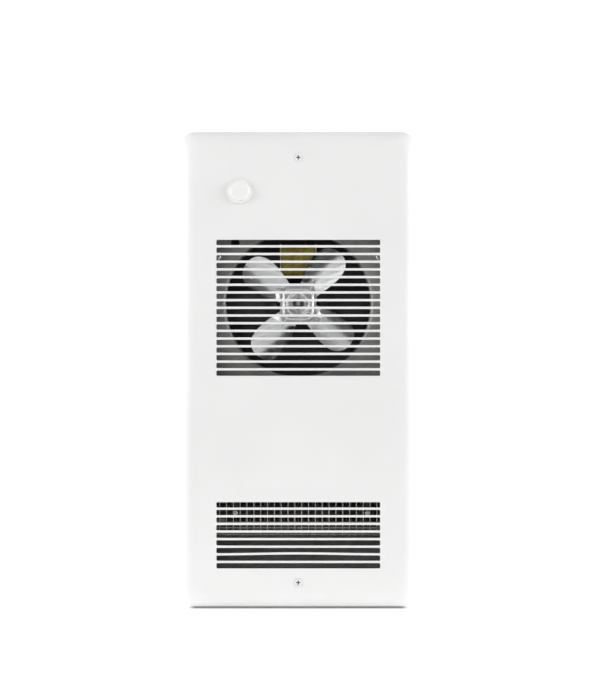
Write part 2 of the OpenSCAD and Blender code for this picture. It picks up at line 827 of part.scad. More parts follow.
// Egg-shaped outline along +X: the half width grows evenly from the root and closes in a
// round tip. The steps get finer towards the tip.
module blade_outline() {
    steps = 14;
    reach = fan_r - blade_root;
    edge = [for (i = [0 : steps])
        let (s = 1 - pow(1 - i / steps, 2))
        [blade_root + s * reach, (blade_root_w + blade_flare * s) * sqrt(1 - pow(s, 3))]];
    polygon([each edge, for (i = [steps - 1 : -1 : 0]) [edge[i][0], -edge[i][1]]]);
}

// One blade: a strip of a thin cylinder, hollow side back, pitched and cut to the outline
// as it is seen from the front.
module blade() {
    strip = 0.6 * blade_camber_r;
    intersection() {
        rotate([90, 0, 0]) linear_extrude(2 * blade_camber_r, center = true) blade_outline();
        rotate([-blade_pitch, 0, 0]) rotate([90, 0, 90]) linear_extrude(fan_r + 5) intersection() {
            translate([blade_camber_r, 0]) difference() {
                circle(blade_camber_r + blade_t / 2);
                circle(blade_camber_r - blade_t / 2);
            }
            translate([-blade_t, -strip]) square([blade_camber_r, 2 * strip]);
        }
    }
}

module fan_blades() {
    color(bright_metal) translate([0, hub_y, fan_z]) difference() {
        union() {
            rotate([90, 0, 0]) linear_extrude(blade_t, center = true)
                rounded_rect(hub_plate_w, hub_plate_w, 6);
            for (quarter = [0 : 3]) rotate([0, -blade_turn - 90 * quarter, 0]) blade();
        }
        rod_y(0, 0, -10, 10, shaft_r + 0.1);
        for (quarter = [0 : 3]) rotate([0, 90 * quarter, 0]) rod_y(hub_rivet_x, 0, -3, 3, 1.3);
    }
}

hub_rivet_x = 9;
hub_flange_r = 12;
hub_r = 6.5;
hub_l = 12;

module fan_hub() {
    front_y = hub_y + blade_t / 2;
    color(zinc_grey) {
        difference() {
            union() {
                rod_y(0, fan_z, front_y, front_y + 1.2, hub_flange_r);
                rod_y(0, fan_z, front_y, front_y + hub_l, hub_r);
            }
            rod_y(0, fan_z, front_y - 1, front_y + hub_l + 1, shaft_r + 0.02);
        }
        for (quarter = [0 : 3]) translate([0, 0, fan_z]) rotate([0, 90 * quarter, 0]) {
            rod_y(hub_rivet_x, 0, hub_y - blade_t / 2, front_y + eps, 1.25);
            rod_y(hub_rivet_x, 0, hub_y - blade_t / 2 - 0.8, hub_y - blade_t / 2, 2);
        }
    }
}

// Push-on spring clip in front of the hub plate.
module fan_clip() {
    clip_y = hub_y - blade_t / 2 - 1;
    color(bright_metal) difference() {
        rod_y(0, fan_z, clip_y, hub_y - blade_t / 2, 6.2);
        rod_y(0, fan_z, clip_y - 1, hub_y, shaft_r + 0.02);
        for (turn = [0, 90]) translate([0, clip_y, fan_z]) rotate([0, turn, 0])
            cube([10, 1, 1], center = true);
    }
}

// ---------------------------------------------------------------- heating element

element_y = deck_back_y + element_back;
element_z = -element_drop;
sheath_left = -end_plate_x - 6;
sheath_right = end_plate_x + 4;
end_plate_t = 1.2;

module element_sheath() {
    color(dark_steel) {
        for (side = [-1, 1])
            rod_x(element_y, element_z + side * pass_dz / 2, sheath_left, sheath_right, sheath_r);
        translate([sheath_right, element_y, element_z]) rotate([90, 0, 0]) rotate([0, 0, -90])
            rotate_extrude(angle = 180) translate([pass_dz / 2, 0]) circle(sheath_r);
    }
}

module element_fins() {
    color(zinc_grey) for (i = [0 : fin_count - 1]) {
        x = (i - (fin_count - 1) / 2) * fin_pitch;
        difference() {
            block([x - fin_t / 2, element_y - fin_d / 2, element_z - fin_h / 2],
                  [x + fin_t / 2, element_y + fin_d / 2, element_z + fin_h / 2]);
            for (side = [-1, 1])
                rod_x(element_y, element_z + side * pass_dz / 2, x - 2, x + 2, sheath_r + 0.05);
        }
    }
}

// End plates that hang the element from the deck, above its outlet opening.
module element_brackets() {
    foot_w = 12;
    foot_top = outlet_open_top + 16;
    foot_low = outlet_open_top + 2.5;
    plate_low = element_z - fin_h / 2;
    front = element_y - fin_d / 2;
    back = element_y + fin_d / 2;
    color(zinc_grey) for (side = [-1, 1]) {
        x0 = side * end_plate_x - end_plate_t / 2;
        difference() {
            translate([x0, 0, 0]) rotate([90, 0, 90]) linear_extrude(end_plate_t) polygon([
                [front, plate_low], [back, plate_low], [back, foot_low - 6], [back - 14, foot_top],
                [deck_back_y, foot_top], [deck_back_y, foot_low], [deck_back_y + outlet_return + 3, foot_low],
                [front, foot_low - 8]
            ]);
            for (up = [-1, 1])
                rod_x(element_y, element_z + up * pass_dz / 2, x0 - 1, x0 + end_plate_t + 1, sheath_r + 0.05);
        }
        block([min(x0, x0 - side * foot_w), deck_back_y, foot_low],
              [max(x0 + end_plate_t, x0 - side * foot_w), deck_back_y + end_plate_t, foot_top]);
    }
}

module element_insulators() {
    color(nylon) for (side = [-1, 1]) difference() {
        rod_x(element_y, element_z + side * pass_dz / 2, sheath_left - 7, sheath_left, sheath_r - 0.5);
        rod_x(element_y, element_z + side * pass_dz / 2, sheath_left - 8, sheath_left + 1, pin_r + 0.02);
    }
}

pin_r = 1.5;
pin_end_x = sheath_left - 14;

module element_pins() {
    color(bright_metal) for (side = [-1, 1])
        rod_x(element_y, element_z + side * pass_dz / 2, pin_end_x, sheath_left, pin_r);
}

// Bimetal cut-out on a small bracket behind the deck, just over the element.
limit_x = 40;
limit_lift = 26;
limit_at = [limit_x, outlet_open_top + limit_lift];
limit_r = 8;
limit_y = deck_back_y + 9;

module limit_bracket() {
    strip_w = 14;
    color(zinc_grey) difference() {
        union() {
            block([limit_at[0] - 12, limit_y, limit_at[1] - strip_w / 2],
                  [limit_at[0] + 14, limit_y + 1, limit_at[1] + strip_w / 2]);
            block([limit_at[0] + 13, deck_back_y, limit_at[1] - strip_w / 2],
                  [limit_at[0] + 14, limit_y + 1, limit_at[1] + strip_w / 2]);
            block([limit_at[0] + 13, deck_back_y, limit_at[1] - strip_w / 2],
                  [limit_at[0] + 24, deck_back_y + 1, limit_at[1] + strip_w / 2]);
        }
        rod_y(limit_at[0], limit_at[1], limit_y - 1, limit_y + 2, 5);
    }
}

module limit_switch() {
    color(black_paint) {
        rod_y(limit_at[0], limit_at[1], limit_y - 3, limit_y + 1, 4.95);
        rod_y(limit_at[0], limit_at[1], limit_y + 1, limit_y + 10, limit_r);
        for (side = [-1, 1])
            block([limit_at[0] + side * 4 - 1, limit_y + 10, limit_at[1] - 3],
                  [limit_at[0] + side * 4 + 1, limit_y + 16, limit_at[1] + 3]);
    }
}

// ---------------------------------------------------------------- outlet guard

guard_above = 8;
guard_below_screws = 27;
guard_top = outlet_open_top + guard_above;
guard_bend_r = 18;
guard_low = -guard_screw_drop - guard_below_screws;
guard_reach = 34;
guard_back_y = deck_y + guard_reach;
guard_screw_l = 9;
bar_y = deck_y - wire_r;
weld_sink = 0.15;
upright_y = bar_y - 2 * wire_r + weld_sink;

// Welded wire guard: upright wires in front of level ones, turned back under the element.
module outlet_guard() {
    bend_y = upright_y + guard_bend_r;
    bend_z = guard_low + guard_bend_r;
    bar_arc_r = guard_bend_r - 2 * wire_r + weld_sink;
    color(bright_metal) {
        for (i = [0 : wire_count - 1]) {
            x = (i - (wire_count - 1) / 2) * wire_pitch;
            translate([x, upright_y, bend_z]) cylinder(h = guard_top - bend_z, r = wire_r);
            translate([x, bend_y, bend_z]) rotate([90, 0, 90]) rotate([0, 0, 180])
                rotate_extrude(angle = 90) translate([guard_bend_r, 0]) circle(wire_r);
            rod_y(x, guard_low, bend_y, guard_back_y, wire_r);
        }
        half = (wire_count - 1) / 2 * wire_pitch + 1;
        for (z = [guard_top - 2, bend_z + 1]) rod_x(bar_y, z, -half, half, wire_r);
        for (turn = [27, 70])
            rod_x(bend_y - bar_arc_r * cos(turn), bend_z - bar_arc_r * sin(turn), -half, half, wire_r);
        for (y = [bend_y + 3 : wire_pitch : guard_back_y - 1])
            rod_x(y, guard_low + 2 * wire_r - weld_sink, -half, half, wire_r);
    }
}

module guard_screws() {
    color(bright_metal) for (x = guard_screw_x)
        pan_screw(x, upright_y - wire_r, -guard_screw_drop, guard_head_r, 2, guard_screw_r, guard_screw_l);
}

// Curved sheet that turns the air forward through the outlet.
module air_deflector() {
    sheet_t = 0.8;
    sweep_r = 50;
    half = box_in_x - 6;
    low_z = -outlet_drop - outlet_open_h / 2 - deck_t - sheet_t;
    centre_y = -box_t - sweep_r;
    centre_z = low_z + sweep_r;
    color(black_paint) {
        intersection() {
            difference() {
                rod_x(centre_y, centre_z, -half, half, sweep_r);
                rod_x(centre_y, centre_z, -half - 1, half + 1, sweep_r - sheet_t);
            }
            block([-half - 1, centre_y, low_z - 1], [half + 1, -box_t, centre_z]);
        }
        block([-half, -box_t - sheet_t, centre_z], [half, -box_t, centre_z + 14]);
        block([-half, deck_back_y, low_z], [half, centre_y, low_z + sheet_t]);
    }
}

// ---------------------------------------------------------------- thermostat and wiring

thermostat_size = [36, 30, 42];

module thermostat_body() {
    w = thermostat_size[0];
    d = thermostat_size[1];
    h = thermostat_size[2];
    color(black_paint) difference() {
        union() {
            block([-knob_left - w / 2, deck_back_y, knob_z - h / 2],
                  [-knob_left + w / 2, deck_back_y + d, knob_z + h / 2]);
            rod_y(-knob_left, knob_z, deck_y - 6, deck_back_y + eps, bushing_r);
            for (side = [-1, 1])
                block([-knob_left + side * 10 - 3, deck_back_y + d, knob_z - 12.4],
                      [-knob_left + side * 10 + 3, deck_back_y + d + 7, knob_z - 11.6]);
        }
        rod_y(-knob_left, knob_z, deck_y - 7, deck_back_y + d - 8, spindle_r + shaft_clear);
    }
}

module thermostat_nut() {
    color(bright_metal) hex_nut(-knob_left, deck_y - 2.6, knob_z, 14, 2.6, bushing_r + 0.05);
}

knob_gap = 0.6;
knob_rest_turn = 225;

module thermostat_spindle() {
    color(bright_metal)
        rod_y(-knob_left, knob_z, face_y - knob_h + 2.5, deck_back_y + thermostat_size[1] - 8.5, spindle_r);
}

// Skirted knob with a domed grip, shallow flutes and a raised pointer rib.
module thermostat_knob() {
    grip_r = knob_r - 3;
    flute_r = 2.2;
    top_y = face_y - knob_h;
    color(paint_white) difference() {
        union() {
            turned(-knob_left, top_y, knob_z) {
                translate([0, knob_h - knob_gap - 2.6]) square([knob_r, 2.6]);
                translate([0, 1.5]) square([grip_r, knob_h - knob_gap - 2]);
                square([grip_r - 1.5, 3]);
                translate([grip_r - 1.5, 1.5]) intersection() {
                    circle(1.5);
                    translate([0, -1.5]) square(1.5);
                }
            }
            translate([-knob_left, 0, knob_z]) rotate([0, knob_rest_turn, 0])
                block([-1, top_y - 0.6, 0], [1, top_y + 2, grip_r - 1.5]);
        }
        for (turn = [15 : 30 : 345])
            rod_y(-knob_left + (grip_r + flute_r - 0.7) * sin(turn), knob_z + (grip_r + flute_r - 0.7) * cos(turn),
                  top_y - 1, face_y - knob_gap - 2.6, flute_r);
        rod_y(-knob_left, knob_z, top_y + 2.48, face_y, spindle_r + 0.02);
    }
}

terminal_right = 60;
terminal_drop = 66;
terminal_at = [terminal_right, cover_h / 2 - terminal_drop];
terminal_size = [44, 16, 22];
terminal_pitch = 22;

module terminal_block() {
    w = terminal_size[0];
    d = terminal_size[1];
    h = terminal_size[2];
    color(nylon) difference() {
        block([terminal_at[0] - w / 2, deck_back_y, terminal_at[1] - h / 2],
              [terminal_at[0] + w / 2, deck_back_y + d, terminal_at[1] + h / 2]);
        for (side = [-1, 1])
            rod_y(terminal_at[0] + side * terminal_pitch / 2, terminal_at[1] + 3, deck_back_y + 6,
                  deck_back_y + d + 1, 4.6);
    }
}

module terminal_screws() {
    color(bright_metal) for (side = [-1, 1])
        rod_y(terminal_at[0] + side * terminal_pitch / 2, terminal_at[1] + 3, deck_back_y + 6,
              deck_back_y + 12, 4);
}

lead_r = 1.4;
wire_bend = 6;
lead_space = 10;
lead_y = deck_back_y + 8;
side_x = box_in_x - lead_space;
terminal_low = terminal_at[1] - terminal_size[2] / 2;
terminal_left = terminal_at[0] - terminal_pitch / 2;
terminal_far = terminal_at[0] + terminal_pitch / 2;
limit_pin_y = limit_y + 16 + lead_r;
coil_top = coil_z + coil_h / 2;
mid_stack_y = (stack_y + stack_end_y) / 2;
spade_y = deck_back_y + thermostat_size[1] + 7 + lead_r;
spade_x = 10;
spade_z = knob_z - spade_x;
under_terminal = terminal_low - 1.7 * lead_space;
under_thermostat = knob_z - 3.5 * lead_space;
over_limit = limit_at[1] + 3.35 * lead_space;

module black_leads() {
    color(black_paint) {
        wire([[terminal_left, lead_y, terminal_low], [terminal_left, lead_y, under_terminal],
              [-knob_left + spade_x, spade_y, under_thermostat],
              [-knob_left + spade_x, spade_y, spade_z]], lead_r);
        wire([[-knob_left - spade_x, spade_y, spade_z],
              [-knob_left - spade_x, spade_y, under_thermostat - wire_bend],
              [-side_x, lead_y, under_thermostat - 3 * wire_bend], [-side_x, lead_y, over_limit],
              [limit_at[0] - 4, limit_pin_y, over_limit],
              [limit_at[0] - 4, limit_pin_y, limit_at[1] + 2]], lead_r);
        wire([[limit_at[0] + 4, limit_pin_y, limit_at[1] + 2],
              [limit_at[0] + 4, limit_pin_y, over_limit - lead_space + 2],
              [pin_end_x + 1, lead_y + 8, over_limit - lead_space - 4],
              [pin_end_x, element_y, element_z + 3.7 * lead_space],
              [pin_end_x, element_y, element_z + pass_dz / 2 + pin_r]], lead_r);
    }
}

module red_leads() {
    over_black = over_limit + lead_space;
    lower_pin_z = element_z - pass_dz / 2;
    turn_z = under_terminal - lead_space + 2;
    color([0.6, 0.12, 0.1]) {
        wire([[terminal_far, lead_y, terminal_low], [terminal_far, lead_y, turn_z],
              [side_x, lead_y, under_terminal - 2 * lead_space], [side_x, lead_y, over_black + 4],
              [-side_x + wire_bend, lead_y, over_black - 2],
              [-side_x, element_y, over_black - 2.6 * lead_space],
              [-side_x, element_y, lower_pin_z], [pin_end_x, element_y, lower_pin_z]], lead_r);
        wire([[8, mid_stack_y, coil_top], [8, mid_stack_y, coil_top + 1.5 * lead_space],
              [terminal_at[0] + 4, lead_y, turn_z],
              [terminal_at[0] + 4, lead_y, terminal_low]], lead_r);
    }
}

ground_y = -30;
ground_z = knob_z + 7;
ground_r = 2;

module ground_screw() {
    color([0.15, 0.45, 0.2]) {
        rod_x(ground_y, ground_z, -box_in_x, -box_in_x + 2.4, 4);
        rod_x(ground_y, ground_z, -box_w / 2 - 2, -box_in_x + eps, ground_r);
    }
}

wall_box();
deck_tabs();
cover_brackets();
cover_clips();
fan_deck();
deck_screws();
front_cover();
cover_screws();
air_divider();
divider_seal();
motor_bracket();
bracket_rivets();
stator_stack();
coil_core();
coil_bobbin();
coil_winding();
shading_rings();
front_bridge();
rear_bridge();
shaft_bushes();
motor_screws();
motor_nuts();
motor_spacers();
element_sheath();
element_fins();
element_brackets();
element_insulators();
element_pins();
limit_switch();
limit_bracket();
outlet_guard();
guard_screws();
air_deflector();
thermostat_body();
thermostat_nut();
terminal_block();
terminal_screws();
black_leads();
red_leads();
ground_screw();
fan_blades();
fan_hub();
fan_clip();
motor_shaft();
rotor_core();
shaft_collars();
thermostat_knob();
thermostat_spindle();
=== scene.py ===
import json
from math import radians

import bmesh
import bpy
import numpy as np
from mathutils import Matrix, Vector


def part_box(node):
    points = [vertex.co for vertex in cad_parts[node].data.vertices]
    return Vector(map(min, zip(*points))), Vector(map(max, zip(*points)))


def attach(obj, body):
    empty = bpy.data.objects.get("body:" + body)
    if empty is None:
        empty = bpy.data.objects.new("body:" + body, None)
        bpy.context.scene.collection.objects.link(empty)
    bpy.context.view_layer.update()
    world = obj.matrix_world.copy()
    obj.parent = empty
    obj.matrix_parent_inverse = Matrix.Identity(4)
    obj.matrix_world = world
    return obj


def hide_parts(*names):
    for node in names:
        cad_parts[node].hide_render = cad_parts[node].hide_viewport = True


# Recessed bathroom wall fan heater. Metres; the cover's face looks along -Y, +Z is up.
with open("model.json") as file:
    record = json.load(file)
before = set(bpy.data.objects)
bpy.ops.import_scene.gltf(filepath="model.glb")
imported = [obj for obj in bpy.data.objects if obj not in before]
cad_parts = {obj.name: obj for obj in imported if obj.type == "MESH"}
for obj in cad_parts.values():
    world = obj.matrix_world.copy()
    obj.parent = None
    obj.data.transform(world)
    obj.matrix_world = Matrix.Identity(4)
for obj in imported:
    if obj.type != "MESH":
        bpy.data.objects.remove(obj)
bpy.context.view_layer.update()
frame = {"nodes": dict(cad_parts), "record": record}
scene = bpy.context.scene
scene.view_settings.view_transform = "Standard"
print("frame loaded:", len(frame["nodes"]), "nodes")

mm = 0.001
record = frame["record"]
slotOf = {part["node"]: part["material_slot"] for part in record["subparts"]}
bodyOf = {node: body for body, nodes in record["behaviour"]["bodies"].items() for node in nodes}


def boxOf(node):
    return [np.array(corner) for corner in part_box(node)]


def metres(sizes):
    # millimetres to metres, inside tuples and dictionaries too
    if isinstance(sizes, dict):
        return {key: metres(size) for key, size in sizes.items()}
    return tuple(map(metres, sizes)) if isinstance(sizes, tuple) else sizes * mm


# Places that several pieces share, read from the frame.
coverLow, coverHigh = boxOf("front_cover")
deckHigh = boxOf("fan_deck")[1]
fanAxis = sum(boxOf("motor_shaft")) / 2
knobAxis = sum(boxOf("thermostat_spindle")) / 2
faceY, rimY = coverLow[1], coverHigh[1]


# Mesh helpers.

def ease(t):
    # 3t^2 - 2t^3, held at 0 and 1 outside the unit interval
    t = np.clip(t, 0.0, 1.0)
    return t * t * (3.0 - 2.0 * t)


def bump(distance, half):
    # a raised cosine: 1 in the middle, 0 from half outwards
    return 0.5 + 0.5 * np.cos(np.pi * np.clip(distance / half, -1, 1))


def xyz(x, y, z):
    # points from three arrays that broadcast together
    return np.stack(np.broadcast_arrays(x, y, z), axis=-1)


def surface(points, closeRows=False, closeColumns=False, keep=None, flip=False):
    # a grid's points and the quads between them, which face (row direction) x (column
    # direction); quads that keep marks false are left out
    rows, columns = points.shape[:2]
    i = np.arange(rows if closeRows else rows - 1)[:, None]
    j = np.arange(columns if closeColumns else columns - 1)[None, :]
    iNext, jNext = (i + 1) % rows, (j + 1) % columns
    quads = np.stack([i * columns + j, iNext * columns + j,
                      iNext * columns + jNext, i * columns + jNext], axis=-1)
    quads = quads.reshape(-1, 4) if keep is None else quads[keep]
    return points.reshape(-1, 3), quads[:, ::-1] if flip else quads


def weldMesh(mesh, distance, outward=False, flatten=False):
    # merges doubles; outward turns the faces out, flatten joins the triangles of flat sides
    bm = bmesh.new()
    bm.from_mesh(mesh)
    bmesh.ops.remove_doubles(bm, verts=bm.verts, dist=distance)
    bmesh.ops.dissolve_degenerate(bm, edges=bm.edges, dist=distance / 4)
    if outward:
        bmesh.ops.recalc_face_normals(bm, faces=bm.faces)
    bm.to_mesh(mesh)
    if flatten:
        bm.clear()
        bm.from_mesh(mesh)
        bmesh.ops.dissolve_limit(bm, angle_limit=radians(0.5), verts=bm.verts, edges=bm.edges)
        bm.to_mesh(mesh)
    bm.free()


def addObject(name, data):
    made = bpy.data.objects.new(name, data)
    scene.collection.objects.link(made)
    return made


def addPiece(name, mesh, node, finish, smooth, sheet=None, inner=None, edge=None, angle=50):
    # an object that stands for the CAD node, in the record's finish or a named one; sheet is
    # the wall it gets, inner that wall's finish
    mesh.name = name
    mesh.shade_smooth()
    mesh.set_sharp_from_angle(angle=radians(smooth))
    piece = addObject(name, mesh)
    mesh.materials.append(finishes[finish or slotOf[node]])
    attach(piece, bodyOf[node])
    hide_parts(node)
    if sheet:
        wall = piece.modifiers.new("sheet", "SOLIDIFY")
        wall.thickness, wall.offset, wall.use_even_offset = sheet, -1.0, True
        if inner:
            mesh.materials.append(finishes[inner])
            wall.material_offset = 1
    if edge:
        bevel = piece.modifiers.new("edge", "BEVEL")
        bevel.width, bevel.segments, bevel.harden_normals = edge, 2, True
        bevel.limit_method, bevel.angle_limit = "ANGLE", radians(angle)
    return piece


def buildPiece(name, surfaces, node, finish=None, smooth=32, weld=2e-6, outward=False, **more):
    # joins the surfaces into one piece
    offsets = np.cumsum([0] + [len(p) for p, _ in surfaces])
    quads = np.concatenate([q + o for (_, q), o in zip(surfaces, offsets)])
    mesh = bpy.data.meshes.new(name)
    mesh.from_pydata(np.concatenate([p for p, _ in surfaces]), [], quads.tolist())
    weldMesh(mesh, weld, outward)
    return addPiece(name, mesh, node, finish, smooth, **more)


def dressNodes(edges, finish=None):
    # copies of CAD nodes, in place, with merged points and edges broken by these millimetres
    for node, edge in edges.items():
        mesh = frame["nodes"][node].data.copy()
        mesh.materials.clear()
        if mesh.has_custom_normals:
            mesh.attributes.remove(mesh.attributes["custom_normal"])
        weldMesh(mesh, 1e-6, flatten=True)
        addPiece(node + "_dressed", mesh, node, finish, 30, edge=edge * mm, angle=40)


# the film is the width over which the painted shade inside the wall box fades in
wallBox = metres({"half": (115, 242), "sheet": 1.0, "film": 0.2})
cover = {
    **metres({
        "sheet": 1.2, "edgeRadius": 20, "cornerRadius": 21, "faceCorner": 13, "edgeBreak": 0.22,
        "slotWidth": 178.5, "slotCorner": 1.2, "bentBar": 1.0, "spacing": 9,
        "intake": {"pitch": 8.38, "height": 5.8, "middle": 67},
        "outlet": {"pitch": 8.29, "height": 5.8, "middle": -181},
        "screws": (231, -232.5), "dimpleRadius": 7.1, "dimpleDepth": 0.9, "seatRadius": 4.6,
        "screwSeat": 1.6, "screwHead": 4.2, "screwHole": 2.4, "spindleHole": 4.5,
        "waviness": 0.05, "waves": (31, 47), "calmEdge": 40,
    }),
    "slots": {"intake": 18, "outlet": 9},
}


# Materials.

def rgba(tone):
    # one number or a colour
    return (*np.broadcast_to(tone, 3).astype(float), 1.0)


def dim(colour, share):
    return tuple(c * share for c in colour)


def tones(low, high, start=0.3, end=0.7):
    return [(start, low), (end, high)]


class Nodes:
    # short ways to build a node tree; a source is an output, a number, a colour or a vector
    def __init__(self, tree):
        self.tree = tree

    def feed(self, target, source):
        if isinstance(source, bpy.types.NodeSocket):
            self.tree.links.new(source, target)
        else:
            target.default_value = rgba(source) if target.type == "RGBA" else source

    def add(self, kind, *sources, **values):
        # sources feed the inputs in their order; values are settings or named inputs
        node = self.tree.nodes.new(kind)
        for key, value in values.items():
            if hasattr(node, key):
                setattr(node, key, value)
            else:
                self.feed(node.inputs[key.replace("_", " ")], value)
        for target, source in zip(node.inputs, sources):
            self.feed(target, source)
        return node

    def combine(self, operation, *sources):
        return self.add("ShaderNodeMath", *sources, operation=operation).outputs[0]

    def times(self, first, second):
        return self.combine("MULTIPLY", first, second)

    def vector(self, operation, *sources):
        return self.add("ShaderNodeVectorMath", *sources, operation=operation).outputs

    def split(self, vector):
        return self.add("ShaderNodeSeparateXYZ", vector).outputs

    def step(self, source, start, end, low=0.0, high=1.0):
        # low up to the start, high from the end on, smooth between
        return self.add("ShaderNodeMapRange", interpolation_type="SMOOTHSTEP", Value=source,
                        From_Min=start, From_Max=end, To_Min=low, To_Max=high).outputs["Result"]


class Recipe(Nodes):
    # one material's node tree, with short ways to add what the finishes share
    def __init__(self, name, colour, metallic=0.0, roughness=0.5):
        self.material = bpy.data.materials.new(name)
        self.material.use_nodes = True
        super().__init__(self.material.node_tree)
        self.shader = self.tree.nodes["Principled BSDF"]
        self.place = self.add("ShaderNodeTexCoord").outputs["Object"]
        self.set(Base_Color=colour, Metallic=metallic, Roughness=roughness)

    def set(self, **sources):
        for key, source in sources.items():
            self.feed(self.shader.inputs[key.replace("_", " ")], source)

    def noise(self, size, detail=3.0, stretch=(1.0, 1.0, 1.0), roughness=0.5):
        # size is the width of one blob in metres
        place = self.add("ShaderNodeMapping", Vector=self.place, Scale=stretch).outputs["Vector"]
        return self.add("ShaderNodeTexNoise", Vector=place, Scale=1.0 / size, Detail=detail,
                        Roughness=roughness).outputs["Fac"]

    def cells(self, size, output="Color", wander=0.0):
        # one random tone per cell; a wander shifts the cells' borders by a finer noise
        place = self.place
        if wander:
            ripple = self.add("ShaderNodeTexNoise", Vector=place, Scale=3.0 / size, Detail=3.0)
            place = self.vector("MULTIPLY_ADD", ripple.outputs["Color"], (wander,) * 3, place)[0]
        return self.add("ShaderNodeTexVoronoi", Vector=place, Scale=1.0 / size).outputs[output]

    def bands(self, axis, size, distortion):
        return self.add("ShaderNodeTexWave", Vector=self.place, bands_direction=axis,
                        Scale=0.314 / size, Distortion=distortion).outputs["Fac"]

    def ramp(self, source, stops):
        # stops are (position, value) with a value of one number or a colour
        node = self.add("ShaderNodeValToRGB", Fac=source)
        elements = node.color_ramp.elements
        while len(elements) < len(stops):
            elements.new(0.5)
        for element, (position, value) in zip(elements, stops):
            element.position = position
            element.color = rgba(value)
        return node.outputs["Color"]

    def blend(self, factor, first, second, mode="MIX"):
        node = self.add("ShaderNodeMix", data_type="RGBA", blend_type=mode)
        for index, source in ((0, factor), (6, first), (7, second)):
            self.feed(node.inputs[index], source)
        return node.outputs[2]

    def darkenBy(self, tone, film):
        return self.blend(1.0, tone, film, "MULTIPLY")

    def gloss(self, source, low, high):
        rough = self.add("ShaderNodeMapRange", Value=source, To_Min=low, To_Max=high)
        self.set(Roughness=rough.outputs["Result"])

    def relief(self, source, depth, strength):
        # bumps of this depth in metres
        bumps = self.add("ShaderNodeBump", Height=source, Distance=depth, Strength=strength)
        self.set(Normal=bumps.outputs["Normal"])


def mottled(name, tone, stops, grain, gloss=None, metallic=0.0, roughness=0.5, dirtOrShade=None,
            **sockets):
    # spots of tone, a fine grain and an uneven gloss; a rule given for dirt or shade darkens the
    # colour with lint or with painted shade
    r = Recipe(name, stops[-1][1], metallic, roughness)
    colour = r.ramp(r.noise(*tone), stops)
    r.set(Base_Color=r.darkenBy(colour, dirtOrShade(r)) if dirtOrShade else colour, **sockets)
    r.relief(r.noise(*grain[0]), *grain[1:])
    if gloss:
        r.gloss(r.noise(*gloss[0]), *gloss[1:])
    return r.material


def powderCoat(name, cover=1.0):
    # white polyester powder: a fine orange peel; a copy with a share below one is the same white
    # darkened as painted shade
    white = dim((0.885, 0.885, 0.88), cover)
    return mottled(name, (0.09, 2.0), tones(dim(white, 0.966), white),
                   ((0.0013, 2.0), 0.00004, 0.35), ((0.02,), 0.32, 0.42), roughness=0.36,
                   Coat_Weight=0.15, Coat_Roughness=0.2)


def brightScrew(name, colour=(0.78, 0.79, 0.8), metallic=1.0, roughness=0.22, dirtOrShade=None):
    return mottled(name, (0.003,), tones(dim(colour, 0.9), colour, end=0.75),
                   ((0.0004, 2.0), 0.00001, 0.4), ((0.001,), roughness * 0.75, roughness * 1.5),
                   metallic, roughness, dirtOrShade)


def groundSteel(name, colour=(0.55, 0.56, 0.57)):
    lines = (0.0006, 4.0, (1.0, 0.05, 1.0), 0.6)
    return mottled(name, (0.008,), tones(dim(colour, 0.85), colour), (lines, 0.00001, 0.5),
                   (lines, 0.2, 0.4), 1.0, 0.28)


def heatTintedSteel(name, colour, tint):
    # straw and blue tints where the element has been hot
    stops = [(0.3, colour), (0.52, tint), (0.75, dim(colour, 0.7))]
    return mottled(name, (0.03,), stops, ((0.0012, 4.0), 0.00003, 0.5), ((0.03,), 0.34, 0.52),
                   1.0, 0.42)


def wireSleeve(name, colour):
    return mottled(name, (0.01,), tones(dim(colour, 0.75), colour), ((0.0008, 2.0), 0.00002, 0.4),
                   ((0.004,), 0.28, 0.46), roughness=0.36)


def zincSheet(name, dirtOrShade, colour=(0.43, 0.43, 0.42), spangle=0.011):
    # hot-dipped zinc: crystals of slightly different grey, faint rolling streaks
    r = Recipe(name, colour, 0.9, 0.45)
    crystals = r.blend(0.4, *(r.cells(size, wander=size) for size in (spangle, spangle / 3)))
    grey = r.ramp(crystals, tones(dim(colour, 0.88), dim(colour, 1.1), 0.1, 0.9))
    streaks = r.ramp(r.noise(0.01, 4.0, (0.15, 1.0, 1.0)), tones(0.86, 1.0, 0.35))
    r.set(Base_Color=r.darkenBy(r.darkenBy(grey, streaks), dirtOrShade(r)))
    r.gloss(crystals, 0.4, 0.56)
    r.relief(r.noise(0.002), 0.00002, 0.3)
    return r.material


def boxInsideShade(r):
    # painted shade inside the wall box, where little light reaches: full where |x|, |z| and y are
    # all inside the steel, fading in over the film width
    wall, film = wallBox["sheet"] / 2, wallBox["film"]
    split = r.split(r.place)
    mask = r.step(split["Y"], -wall, -wall - film)
    for axis, reach in zip("XZ", np.array(wallBox["half"]) - wall):
        mask = r.times(mask, r.step(r.combine("ABSOLUTE", split[axis]), reach, reach - film))
    return r.blend(mask, 1.0, r.ramp(r.noise(0.03, 4.0), tones(0.2, 0.34, end=0.75)))


def deckLintAndShade(r):
    # the deck's front: random lint tones, painted shade darker towards the left end, and dark brown
    # painted shade on the lower part, over the outlet's upper edge and its tongues
    split = r.split(r.place)
    dustAndShade = r.darkenBy(r.ramp(r.noise(0.05, 4.0), tones(0.85, 1.2)),
                  r.step(split["X"], 40 * mm, 95 * mm, 0.75, 1.0))
    return r.blend(r.step(split["Z"], -112 * mm, -134 * mm), dustAndShade, (0.16, 0.13, 0.1))


